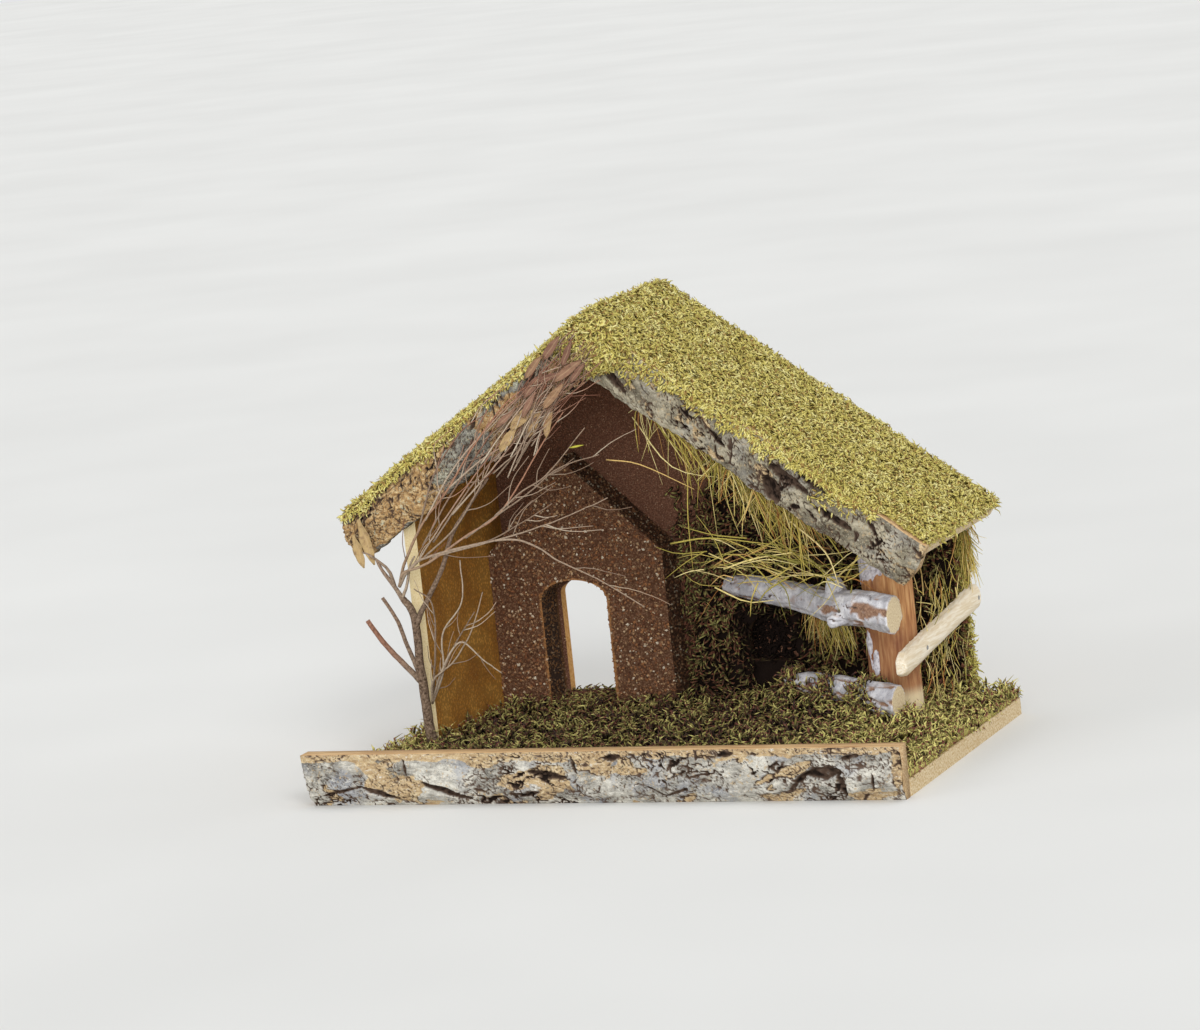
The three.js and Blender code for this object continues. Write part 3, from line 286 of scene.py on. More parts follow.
def tube(line, radii, sides=6, flat=1.0, turn=0.0):
    """A closed tube round a line of points: points, triangles."""
    line = np.asarray(line, dtype=float)
    tangent = unit(np.gradient(line, axis=0))
    side = np.empty_like(line)
    start = np.cross(tangent[0], UP if abs(tangent[0][2]) < 0.9 else np.array([1.0, 0, 0]))
    side[0] = unit(start)
    for i in range(1, len(line)):
        side[i] = unit(side[i - 1] - np.dot(side[i - 1], tangent[i]) * tangent[i])
    other = np.cross(tangent, side)
    angle = turn + 2 * np.pi * np.arange(sides) / sides
    wide, high = radii[:, None] * np.cos(angle), radii[:, None] * np.sin(angle)
    rings = line[:, None] + wide[:, :, None] * side[:, None] + flat * high[:, :, None] * other[:, None]
    points, body, first, last = lofted(rings)
    return points, np.concatenate([body, first, last])


# Materials

def colour(code):
    """Linear colour from a hexadecimal screen colour."""
    channels = [int(code[i:i + 2], 16) / 255 for i in (0, 2, 4)]
    return (*[c / 12.92 if c <= 0.04045 else ((c + 0.055) / 1.055) ** 2.4 for c in channels], 1.0)


class Look:
    """A material being made from nodes. Lengths are in millimetres."""

    def __init__(self, name, roughness=0.9, specular=0.2):
        self.material = bpy.data.materials.new(name)
        self.material.use_nodes = True
        self.tree = self.material.node_tree
        self.shader = self.tree.nodes["Principled BSDF"]
        self.shader.inputs["Roughness"].default_value = roughness
        self.shader.inputs["Specular IOR Level"].default_value = specular
        self.place = self.tree.nodes.new("ShaderNodeTexCoord").outputs["Object"]

    def plug(self, value, socket):
        if hasattr(value, "is_linked"):
            self.tree.links.new(value, socket)
        else:
            socket.default_value = value

    def stretched(self, x=1.0, y=1.0, z=1.0):
        node = self.tree.nodes.new("ShaderNodeMapping")
        node.inputs["Scale"].default_value = (x, y, z)
        self.tree.links.new(self.place, node.inputs["Vector"])
        return node.outputs["Vector"]

    def cloud(self, size, detail=3.0, rough=0.55, at=None, warp=0.0):
        node = self.tree.nodes.new("ShaderNodeTexNoise")
        node.inputs["Scale"].default_value = 1000 / size
        node.inputs["Detail"].default_value = detail
        node.inputs["Roughness"].default_value = rough
        node.inputs["Distortion"].default_value = warp
        self.tree.links.new(at or self.place, node.inputs["Vector"])
        return node.outputs["Fac"]

    def specks(self, size):
        node = self.tree.nodes.new("ShaderNodeTexVoronoi")
        node.inputs["Scale"].default_value = 1000 / size
        self.tree.links.new(self.place, node.inputs["Vector"])
        return node.outputs["Distance"]

    def number(self, name):
        node = self.tree.nodes.new("ShaderNodeAttribute")
        node.attribute_name = name
        return node.outputs["Fac"]

    def ramp(self, value, *stops):
        node = self.tree.nodes.new("ShaderNodeValToRGB")
        ramp = node.color_ramp
        while len(ramp.elements) < len(stops):
            ramp.elements.new(0.5)
        for element, (position, code) in zip(ramp.elements, stops):
            element.position = position
            element.color = colour(code) if isinstance(code, str) else (code, code, code, 1.0)
        self.plug(value, node.inputs["Fac"])
        return node.outputs["Color"]

    def mix(self, share, a, b):
        node = self.tree.nodes.new("ShaderNodeMix")
        node.data_type = "RGBA"
        self.plug(share, node.inputs[0])
        self.plug(colour(a) if isinstance(a, str) else a, node.inputs[6])
        self.plug(colour(b) if isinstance(b, str) else b, node.inputs[7])
        return node.outputs[2]

    def lay(self, base, over, value, low, high, share=1.0):
        """A colour over the base, coming up to its share as the value goes from low to high."""
        where = self.between(value, low, high)
        return self.mix(where if share == 1 else self.times(where, share), base, over)

    def darkened(self, base, dark, share, value, low, high):
        """The base with a share of a dark colour where the value is low."""
        return self.mix(self.between(value, low, high), self.mix(share, base, dark), base)

    def reckon(self, operation, a, b=0.0, c=0.0):
        node = self.tree.nodes.new("ShaderNodeMath")
        node.operation = operation
        for value, socket in zip((a, b, c), node.inputs):
            self.plug(value, socket)
        return node.outputs[0]

    def plus(self, a, b):
        return self.reckon("ADD", a, b)

    def minus(self, a, b):
        return self.reckon("SUBTRACT", a, b)

    def times(self, a, b):
        return self.reckon("MULTIPLY", a, b)

    def larger(self, a, b):
        return self.reckon("MAXIMUM", a, b)

    def absolute(self, a):
        return self.reckon("ABSOLUTE", a)

    def between(self, value, low, high):
        """0 where the value is low and 1 where it is high, with a soft step."""
        node = self.tree.nodes.new("ShaderNodeMapRange")
        node.interpolation_type = "SMOOTHSTEP"
        node.inputs["From Min"].default_value = low
        node.inputs["From Max"].default_value = high
        self.plug(value, node.inputs["Value"])
        return node.outputs["Result"]

    def own(self, kind, axis):
        """One axis, 0 to 2 for X to Z, of the surface's own coordinates of a kind."""
        node = self.tree.nodes.new("ShaderNodeSeparateXYZ")
        self.tree.links.new(self.tree.nodes.new("ShaderNodeTexCoord").outputs[kind], node.inputs[0])
        return node.outputs[axis]

    def facing(self, axis):
        """Part of the surface's own normal along an axis."""
        return self.own("Normal", axis)

    def turned_to_front(self, low, high):
        return self.between(self.times(self.facing(1), -1.0), low, high)

    def bench_place(self, axis):
        """The surface's own place along an axis in millimetres, counted as on the bench."""
        return self.reckon("MULTIPLY_ADD", self.own("Object", axis), 1000.0, float(BENCH[axis]))

    def finish(self, base, height=None, depth=0.5, roughness=None):
        """Sets the colour, the bump in millimetres and the roughness."""
        self.plug(base, self.shader.inputs["Base Color"])
        if height is not None:
            bump = self.tree.nodes.new("ShaderNodeBump")
            bump.inputs["Distance"].default_value = depth / 1000
            self.tree.links.new(height, bump.inputs["Height"])
            self.tree.links.new(bump.outputs["Normal"], self.shader.inputs["Normal"])
        if roughness is not None:
            self.plug(roughness, self.shader.inputs["Roughness"])
        return self.material


def moss_look(name, deep, dull, fresh, tip_colour, brown, brown_share, dark_reach=(0.0, 0.45)):
    """Moss that goes from deep at its roots, through dark_reach of the tip number, to its green."""
    look = Look(name, roughness=0.95, specular=0.1)
    patch = look.between(look.cloud(14, detail=3), 0.32, 0.68)
    blend = look.plus(look.times(look.number("tone"), 0.78), look.times(patch, 0.22))
    green = look.ramp(blend, (0.15, dull), (0.5, fresh), (0.9, tip_colour))
    green = look.lay(green, brown, look.cloud(2.6, detail=1), 1 - brown_share, 1.04 - brown_share)
    base = look.mix(look.between(look.number("tip"), *dark_reach), deep, green)
    fine = look.cloud(0.7, detail=2)
    return look.finish(look.darkened(base, deep, 0.3, fine, 0.3, 0.6), fine, 0.4)


def wood_look(name, pale, dark, end, grain=(0.06, 1.0, 1.0), size=2.2, dirt=0.25):
    """Plain sawn wood. Grain runs along the axis with the smallest number."""
    look = Look(name, roughness=0.75, specular=0.25)
    at = look.stretched(*grain)
    lines = look.cloud(size, detail=4, rough=0.6, at=at, warp=0.4)
    base = look.mix(look.between(lines, 0.35, 0.68), dark, pale)
    across = look.absolute(look.facing(grain.index(min(grain))))
    cut = look.mix(look.between(look.cloud(1.3, detail=3), 0.3, 0.7), dark, end)
    base = look.lay(base, cut, across, 0.6, 0.8)
    base = look.lay(base, dark, look.cloud(16, detail=3), 0.5, 0.75, dirt)
    return look.finish(base, lines, 0.35)


def bark_look(name, greys, warms, lichen_colour, lichen_low, blue_share, grain_way):
    """Bark: raised grey scales, warm inner bark between them, and dark cracks and hollows, whose darkness is
    partly the bark's own colour and partly painted shade.
    """
    look = Look(name, roughness=0.92, specular=0.12)
    crack = look.number("crack")
    along = look.stretched(*grain_way)
    grain = look.cloud(2.2, detail=5, rough=0.75, at=along, warp=0.6)
    blend = look.plus(look.times(look.number("tone"), 0.4), look.times(grain, 0.6))
    grey = look.ramp(blend, (0.36, greys[0]), (0.5, greys[1]), (0.62, greys[2]))
    grey = look.lay(grey, "959aa6", look.cloud(22, detail=3), 0.5, 0.66, blue_share)
    warm = look.ramp(grain, (0.34, warms[0]), (0.5, warms[1]), (0.64, warms[2]))
    fray = look.plus(look.number("patch"), look.times(look.minus(grain, 0.5), 0.9))
    base = look.lay(grey, warm, fray, 0.3, 0.72)
    lichen = look.cloud(5, detail=5, rough=0.75, at=along)
    base = look.lay(base, lichen_colour, lichen, lichen_low, lichen_low + 0.1)
    base = look.lay(base, "544a42", look.cloud(1.3, detail=4, rough=0.75, at=along), 0.58, 0.68, 0.6)
    for size, low, speck_colour in ((2.6, 0.59, warms[1]), (1.5, 0.6, greys[2]), (0.9, 0.61, greys[0])):
        base = look.lay(base, speck_colour, look.cloud(size, detail=3, rough=0.7), low, low + 0.05, 0.65)
    # the cracks' own dark colour, then near-black painted shade in the deepest cracks and hollows
    base = look.lay(base, "5c4a3e", crack, 0.12, 0.6)
    base = look.lay(base, "211914", crack, 0.55, 1.0)
    return look.finish(base, grain, 0.9)


def steel_look():
    look = Look("steel", roughness=0.35, specular=0.5)
    look.shader.inputs["Metallic"].default_value = 1.0
    drawn = look.cloud(0.6, detail=2, at=look.stretched(1, 1, 0.1))
    base = look.ramp(drawn, (0.3, "8f8f90"), (0.7, "b9babb"))
    return look.finish(base, drawn, 0.03)


STEEL = steel_look()
BOARD = wood_look("sawn_board", "e6d4ae", "c0a06c", "e8d8b6")
RAW_CUT = wood_look("raw_cut", "d9b98a", "ab8358", "e0c698")
PEELED = wood_look("peeled_wood", "f6ecd8", "e2d0b0", "f6eedc", grain=(1.0, 0.07, 1.0), size=1.8, dirt=0.15)
ROOF_MOSS = moss_look("roof_moss", "94864a", "b8aa5a", "dccf76", "f2eaa6", "a4844e", 0.43)
GROUND_MOSS = moss_look("ground_moss", "211716", "58463e", "aea45c", "ece28c", "936050", 0.46, (0.12, 0.78))
STALL_MOSS = moss_look("stall_moss", "1f1612", "62483a", "8e8450", "c2bc74", "8a5a46", 0.5, (0.1, 0.8))
EDGE_MOSS = moss_look("edge_moss", "463c24", "8a7e40", "beb25a", "e6dc84", "8c6642", 0.42)
WARM_BARK = ("9c8160", "bfa57e", "d8c5a0")
DIM_BARK = ("7a5c3c", "b59060", "dcc496")
RIGHT_BARK = bark_look("grey_bark", ("686152", "938b77", "bcb39c"), WARM_BARK, "c9c5ba", 0.62, 0.2,
                       grain_way=(0.6, 1.0, 0.8))
LEFT_BARK = bark_look("ochre_bark", ("5e5a54", "8f8b80", "bebba6"), DIM_BARK, "bebfa6", 0.57, 0.12,
                      grain_way=(0.7, 1.0, 0.9))
PLANK_BARK = bark_look("plank_bark", ("77746c", "aeaaa0", "dad6ca"), WARM_BARK, "dedacf", 0.58, 0.5,
                       grain_way=(0.45, 1.0, 1.0))


# Camera

LENS, SENSOR_WIDTH, CLIP_END = 135.76, 36, 20
CAMERA_PLACE = Vector((1.1505, -2.7168, 0.6368))
CAMERA_RIGHT, CAMERA_AHEAD = Vector((0.9172, 0.3844, -0.1048)), Vector((-0.3969, 0.9044, -0.1568))

camera = bpy.data.objects.new("camera", bpy.data.cameras.new("camera"))
camera.data.lens = LENS
camera.data.sensor_width = SENSOR_WIDTH
camera.data.clip_end = CLIP_END
ahead = CAMERA_AHEAD.normalized()
upward = CAMERA_RIGHT.normalized().cross(ahead).normalized()
right = ahead.cross(upward).normalized()
turn = Matrix((right, upward, -ahead)).transposed()
camera.matrix_world = Matrix.Translation(CAMERA_PLACE) @ turn.to_4x4()
bpy.context.scene.collection.objects.link(camera)
bpy.context.scene.camera = camera


# Moss

LONG_CURL = ((0.0, 0.7), (0.36, 1.0), (0.72, 0.8), (1.0, 0.0))
SHORT_CURL = ((0.0, 0.8), (0.5, 1.0), (1.0, 0.0))


def curls(soup, places, normals, rng, length, width, lean, turn, tone=None, aim=None, aim_share=0.0, sink=0.8,
          light=1.0, form=LONG_CURL, rear=240.0):
    """Short curled leaves in arcs. Lean is their angle above the surface in degrees.

    A form gives each ring's share of the length and of the width. Leaves that would leave the box or reach
    further back than rear are left out. Light scales the tip number, so below 1 it paints shade into the
    leaves' colour and above 1 it paints light.
    """
    count = len(places)
    heading = rng.normal(size=(count, 3))
    if aim is not None:
        heading = heading * (1 - aim_share) + aim * aim_share * 2
    along = unit(heading - (heading * normals).sum(axis=1, keepdims=True) * normals)
    across = np.cross(normals, along)
    size = rng.uniform(*length, count)[:, None]
    half = rng.uniform(*width, count)[:, None] / 2
    rise = np.sin(np.radians(rng.uniform(*lean, count)))[:, None]
    bend = turn * np.clip(rng.normal(size=(count, 1)), -1.6, 1.6)
    foot = places - sink * normals
    rings, tip = [], []
    for share, taper in form:
        angle = bend * share
        ahead = size * share * (1 - angle ** 2 / 6)
        aside = size * share * angle / 2
        lift = size * share * rise * (1.25 - 0.5 * share) + sink * min(1.0, 2 * share)
        centre = foot + along * ahead + across * aside + normals * lift
        side = across * np.cos(angle) - along * np.sin(angle)
        if taper > 0:
            wide, high = side * half * taper, normals * half * taper * 0.8
            rings += [centre + wide, centre - wide, centre + high]
            tip += [0.1 + 0.75 * share, 0.1 + 0.75 * share, 0.2 + 0.75 * share]
    points = np.stack(rings + [centre], axis=1)
    kept = ((points > BOX_LOW - 3.5) & (points < BOX_HIGH + 3.5)).all(axis=(1, 2))
    kept &= (points[:, :, 1] < rear).all(axis=1)
    points = points[kept]
    light = np.broadcast_to(light, (count,))[kept]
    size = points.shape[1]
    pattern = [[0, 2, 1]] + [[size - 4 + a, size - 4 + b, size - 1] for a, b in ((0, 1), (1, 2), (2, 0))]
    for ring in range(0, size - 4, 3):
        for a, b in ((0, 1), (1, 2), (2, 0)):
            pattern += [[ring + a, ring + b, ring + 3 + b], [ring + a, ring + 3 + b, ring + 3 + a]]
    faces = (np.array(pattern)[None] + size * np.arange(len(points))[:, None, None]).reshape(-1, 3)
    if tone is None:
        tone = rng.random(count)
    soup.add(points.reshape(-1, 3), faces, tone=np.repeat(np.clip(tone, 0, 1)[kept], size),
             tip=np.repeat(light, size) * np.tile(tip + [1.0], len(points)))


def clumps(places, normals, rng, each, radius, dome, spread, tone_share=0.55, crown=0.3, sink=1.2):
    """Roots, outward ways and tones of leaves that grow in small domed clumps, with painted light by crown on
    top and painted shade at the rim.
    """
    places, normals = np.repeat(places - sink * normals, each, axis=0), np.repeat(normals, each, axis=0)
    count = len(places)
    size = np.repeat(rng.uniform(*radius, count // each), each)
    a = unit(np.cross(normals, np.repeat(rng.normal(size=(count // each, 3)), each, axis=0)))
    b = np.cross(normals, a)
    way, far = rng.uniform(0, 2 * math.pi, count), np.sqrt(rng.random(count))
    aside = (a * np.cos(way)[:, None] + b * np.sin(way)[:, None]) * far[:, None]
    high = np.repeat(rng.uniform(*dome, count // each), each) * (1 - far ** 2)
    tone = tone_share * np.repeat(rng.random(count // each), each) + (1 - tone_share) * rng.random(count)
    # painted light on each clump's top and painted shade at its rim
    tone = tone + crown * (0.5 - far ** 2)
    return places + aside * size[:, None] + normals * high[:, None], unit(normals + spread * aside), tone


def moss_pad(soup, node, cuts, outward, rough=1.0, drop=1.2, tip=0.08, pale=lambda p: 0.0):
    """The ground under the leaves: the CAD pad with a lumpy face, a little lower than it was. Pale paints
    light into its colour.
    """
    points, faces, normals = split(node, cuts)
    share = ease(outward(normals), 0.3, 0.8)
    lump = 2 * rough * fbm(points / 6, 3, 5) - drop
    tip = tip + 0.25 * (1 - share) + 0.12 * noise(points / 3, 3) + 0.35 * pale(points)
    soup.add(points + normals * (share * lump)[:, None], faces, tone=0.2 + 0.3 * pale(points), tip=tip)


class Side(NamedTuple):
    """One side of the roof, with the sizes of the bark slab on its front edge."""
    down: np.ndarray
    out: np.ndarray
    pitch: float
    slope: float
    thickness: float
    width: float
    overrun: float
    round_end: float
    phase: float

    @property
    def length(self):
        return self.slope + self.overrun


def roof_side(sign, pitch, **sizes):
    down = np.array([sign * math.cos(pitch), 0, -math.sin(pitch)])
    out = np.array([sign * math.sin(pitch), 0, math.cos(pitch)])
    return Side(down, out, pitch, **sizes)


LEFT = roof_side(-1, math.radians(33.1), slope=225.0, thickness=13, width=34, overrun=6, round_end=9, phase=1)
RIGHT = roof_side(1, math.radians(35.5), slope=270.0, thickness=11, width=31, overrun=4, round_end=3, phase=3)


def roof_at(side, u, y, w):
    """A place at u down the slope and w above the roof boards' top."""
    u, y, w = np.broadcast_arrays(np.asarray(u, float), np.asarray(y, float), np.asarray(w, float))
    place = np.array([RIDGE_X, 0, RIDGE_HEIGHT]) + u[..., None] * side.down + w[..., None] * side.out
    place[..., 1] = y
    return place


def slab_depth(side, s, q):
    """Depth of a bark slab at a share s of its length and a share q from its top to its lower edge."""
    crown = 0.45 + 0.47 * np.sqrt(np.sin(np.pi * (0.06 + 0.88 * q)))
    return side.thickness * crown + 1.2 * uneven(22 * s, 6 * q, side.phase) * np.sin(np.pi * q)


def slab_face(side, u, w, width):
    return BARK_BACK - slab_depth(side, u / side.length, np.clip((SLAB_RISE - w) / width, 0.02, 1))


def roof_moss(side, node, edge_leaves, seed):
    rng = np.random.default_rng(seed)
    soup = Soup("tone", "tip")
    moss_pad(soup, node, 2, lambda n: n @ side.out, drop=1.6)
    places, normals = even_scatter(node, 4.9, rng, lambda n, c: n @ side.out > 0.5)
    roots, ways, tone = clumps(places, normals, rng, each=7, radius=(2.4, 5.0), dome=(0.4, 2.4), spread=0.5)
    curls(soup, roots, ways, rng, length=(3.6, 7.4), width=(1.1, 2.1), lean=(2, 30), turn=1.1, tone=tone,
          form=SHORT_CURL)
    places, normals = scatter(node, edge_leaves, rng,
                              lambda n, c: (abs(n @ side.out) < 0.5) & (n[:, 2] > -0.9))
    curls(soup, places - 0.8 * normals, normals, rng, length=(2.5, 4.5), width=(0.9, 1.5), lean=(5, 35),
          turn=0.7, form=SHORT_CURL)
    return soup


def ragged(u, size, row):
    return fbm(np.stack([u / size, 0 * u, 0 * u + row], axis=1), 3, 4)


def slab_moss(soup, side, rng, u, w_low):
    """Moss over the sawn top of a bark slab and down its face to w_low, given along the slope by u."""
    count = len(u)
    on_top = rng.random(count) < 0.4
    w = np.where(on_top, 2.2, 2.4 + (w_low - 2.4) * rng.random(count) ** 1.3)
    top_y = BARK_BACK - slab_depth(side, u / side.length, 0.03) * rng.random(count)
    y = np.where(on_top, top_y, slab_face(side, u, w, RIGHT.width) - 0.4)
    ways = np.where(on_top[:, None], unit(side.out + 0.3 * FORWARD), unit(FORWARD + 0.35 * side.out))
    curls(soup, roof_at(side, u, y, w), ways, rng, length=(3.5, 7), width=(1.0, 1.8), lean=(4, 32), turn=0.8,
          tone=0.12 + 0.76 * rng.random(count), aim=-side.out, aim_share=0.3, form=SHORT_CURL)


def tufts(soup, side, rng, *spots):
    """Tufts on a slab's face. A spot gives its middle, its spreads and its number of leaves."""
    for centre_u, centre_w, spread_u, spread_w, count in spots:
        u = np.clip(centre_u + spread_u * rng.normal(size=count), 2, 226)
        w = np.clip(centre_w + spread_w * rng.normal(size=count), -30, 2.5)
        y = slab_face(side, u, w, side.width) - 0.5
        curls(soup, roof_at(side, u, y, w), FORWARD, rng, length=(3, 6), width=(0.9, 1.5), lean=(5, 40),
              turn=0.8)


left_moss = roof_moss(LEFT, "roof_left_moss", edge_leaves=750, seed=11)
right_moss = roof_moss(RIGHT, "roof_right_moss", edge_leaves=1100, seed=12)
rng = np.random.default_rng(13)
u = 1 + 232 * rng.random(1900) ** 1.1
slab_moss(right_moss, RIGHT, rng, u, 2.0 - (12 * (1 - u / 235) ** 1.6 + 2.2) * (1 + 1.6 * ragged(u, 9, 0)))
u = 4 + 220 * rng.random(1300)
slab_moss(left_moss, LEFT, rng, u, 1.6 - 2.6 * (1 + 1.8 * ragged(u, 8, 7)))
tufts(left_moss, LEFT, rng, (134, -2, 12, 2.5, 90), (206, -1, 7, 3, 60), (14, -7, 7, 6, 90))
tufts(right_moss, RIGHT, rng, (207, -3, 6, 3, 70), (196, -9, 3, 3, 26))
show(left_moss, "roof_moss_left", [ROOF_MOSS], "roof_left_moss")
show(right_moss, "roof_moss_right", [ROOF_MOSS], "roof_right_moss")

# The tuft over the ridge, with loose leaves that hide the mitre behind it
rng = np.random.default_rng(21)
soup = Soup("tone", "tip")
moss_pad(soup, "apex_moss", 2, lambda n: -n[:, 1] + n[:, 2])
places, normals = scatter("apex_moss", 210, rng, lambda n, c: n[:, 1] < 0.4)
roots, ways, tone = clumps(places, normals, rng, each=7, radius=(2.5, 5), dome=(0.5, 2.4), spread=0.7)
curls(soup, roots, ways, rng, length=(4, 7.5), width=(1.1, 2.0), lean=(4, 35), turn=0.9, tone=tone, aim=-UP,
      aim_share=0.2)
x, y = rng.uniform(RIDGE_X - 9, RIDGE_X + 9, 260), rng.uniform(75, 95, 260)
places = np.stack([x, y, RIDGE_HEIGHT + 4.5 - 0.66 * np.abs(x - RIDGE_X)], axis=1)
curls(soup, places, UP, rng, length=(4, 7), width=(1.1, 2.0), lean=(2, 25), turn=0.9, sink=2.0)
show(soup, "moss_over_the_ridge", [ROOF_MOSS], "apex_moss")


def painted_daylight(p):
    """How much painted light the ground moss gets: more at the board's edges than in the shade under the
    roof.
    """
    return 1.4 * ease(p[:, 0], 285, 352) + 1.2 * ease(-p[:, 0], -60, -14) + 0.35 * ease(-p[:, 1], -34, -5)


rng = np.random.default_rng(22)
soup = Soup("tone", "tip")
moss_pad(soup, "ground_moss", 2, lambda n: n[:, 2], rough=1.5, drop=1.5, tip=0.12, pale=painted_daylight)
places, normals = even_scatter("ground_moss", 7.1, rng, lambda n, c: n[:, 2] > 0.3)
roots, ways, tone = clumps(places, normals, rng, each=8, radius=(3.0, 8.0), dome=(0.5, 7.5), spread=1.0,
                           tone_share=0.75, crown=0.7)
# painted light: the ground moss is paler and lighter towards the board's edges
edges = painted_daylight(roots)
curls(soup, roots, ways, rng, length=(4.5, 10.0), width=(1.0, 2.0), lean=(5, 56), turn=1.5,
      tone=1.5 * (tone - 0.5) + 0.38 + 0.5 * edges, sink=1.6, light=1 + 0.45 * edges, form=SHORT_CURL)
# moss on the board's ends, brightened with painted light
places, normals = scatter("ground_moss", 1500, rng,
                          lambda n, c: (np.abs(n[:, 2]) < 0.5) & ((c[:, 0] > 380) | (c[:, 0] < 20)))
curls(soup, places - 0.8 * normals, unit(normals + 0.5 * UP), rng, length=(3.0, 6), width=(1.2, 2.1),
      lean=(2, 18), turn=0.8, tone=0.5 + 0.5 * rng.random(1500), aim=UP, aim_share=0.35, sink=1.2, light=1.3,
      form=SHORT_CURL)

# Moss that has crept over the middle and the far end of the lower rail, and over the door sill
places, normals = scatter("lower_rail", 2600, rng, lambda n, c: c[:, 0] < 350)
way = (places - np.array([POST_X, POST_REAR, 0])) @ RAIL_ALONG
cover_height = 40 + 8 * np.sin(way / 7 + 0.6) - 7 * ease(way, 8, 24) + 4 * rng.normal(size=len(way))
covered = (way < 30) & (places[:, 2] < cover_height)
curls(soup, places[covered], unit(normals[covered] + 0.4 * UP), rng, length=(5, 10), width=(1.1, 2.0),
      lean=(10, 60), turn=1.0, aim=UP, aim_share=0.2)
x, y = rng.uniform(70, 123, 260), rng.uniform(199, 233, 260)
places = np.stack([x, y, np.where(y > REAR_WALL_Y, 23.0, 20.5)], axis=1)
curls(soup, places, UP, rng, length=(4, 8), width=(1.1, 2.1), lean=(5, 50), turn=1.0, aim=FORWARD,
      aim_share=0.2)
show(soup, "moss_on_the_base", [GROUND_MOSS], "ground_moss")

# The bank behind the rails, with a niche darkened by painted shade, and thin strips of it on the rear wall
# beside the house front
rng = np.random.default_rng(23)
soup = Soup("tone", "tip")
moss_pad(soup, "stall_moss", 2, lambda n: -n[:, 1], rough=1.6, drop=1.5)
places, normals = scatter("stall_moss", 1000, rng, lambda n, c: n[:, 1] < 0.3)
roots, ways, tone = clumps(places, normals, rng, each=7, radius=(3, 7), dome=(0.5, 4.0), spread=0.9,
                           tone_share=0.7, crown=0.5, sink=1.0)
x, z = roots[:, 0], roots[:, 2]
hole = np.maximum(np.abs(x - NICHE_X) / NICHE_HALF, np.abs(z - NICHE_Z) / NICHE_HIGH)
shown = hole > 0.95 + 0.12 * rng.random(len(roots))
# painted shade on the leaves round the niche
shade = 0.25 + 0.75 * ease(hole, 0.95, 1.75)
curls(soup, roots[shown], ways[shown], rng, length=(4.5, 9.5), width=(1.1, 2.2), lean=(8, 55), turn=1.2,
      tone=tone[shown], aim=-UP, aim_share=0.25, light=shade[shown], rear=REAR_WALL_Y + 3)
# dark leaves at the back of the niche, which are painted shade
places = np.stack([rng.uniform(213, 251, 330), np.full(330, REAR_WALL_Y), rng.uniform(42, 78, 330)], axis=1)
curls(soup, places, FORWARD, rng, length=(5, 10), width=(1.6, 3.0), lean=(3, 25), turn=0.9,
      tone=0.3 * rng.random(330), light=0.1)
for low_x, high_x, low_z, high_z, count in ((166.5, 186, 12, 165, 900), (186, 300, 11, 34, 900)):
    x, z = rng.uniform(low_x, high_x, count), rng.uniform(low_z, high_z, count)
    beside = rng.random(count) > 0.8 * ease(z, 110, 165)
    places = np.stack([x, np.full(count, REAR_WALL_Y - 1.0), z], axis=1)[beside]
    curls(soup, places, FORWARD, rng, length=(4.5, 9.5), width=(1.1, 2.2), lean=(8, 50), turn=1.2, aim=-UP,
          aim_share=0.25)
show(soup, "moss_on_the_stall_wall", [STALL_MOSS], "stall_moss")

rng = np.random.default_rng(24)
soup = Soup("tone", "tip")
moss_pad(soup, "edge_moss", 1, lambda n: n[:, 0], drop=0.8)
places, normals = scatter("edge_moss", 1100, rng, lambda n, c: n[:, 1] < 0.5)
curls(soup, places - 0.8 * normals, normals, rng, length=(4, 8), width=(1.0, 1.8), lean=(8, 50), turn=0.9,
      tone=0.4 + 0.6 * rng.random(1100), aim=-UP, aim_share=0.3)
show(soup, "moss_on_the_rear_edge", [EDGE_MOSS], "edge_moss")


# Bark, with the hollows and the bare strokes where they lie in the photo

def stroke_distance(along, across, stroke):
    """Distance from a stroke in shares of its radius, with the radius fuller in the middle of the stroke."""
    u0, w0, u1, w1, radius = stroke
    way = np.array([u1 - u0, w1 - w0], dtype=float)
    t = np.clip(((along - u0) * way[0] + (across - w0) * way[1]) / (way @ way), 0, 1)
    fuller = (0.55 + np.sin(np.pi * t)) / 1.3
    return np.hypot(along - u0 - t * way[0], across - w0 - t * way[1]) / (radius * fuller)


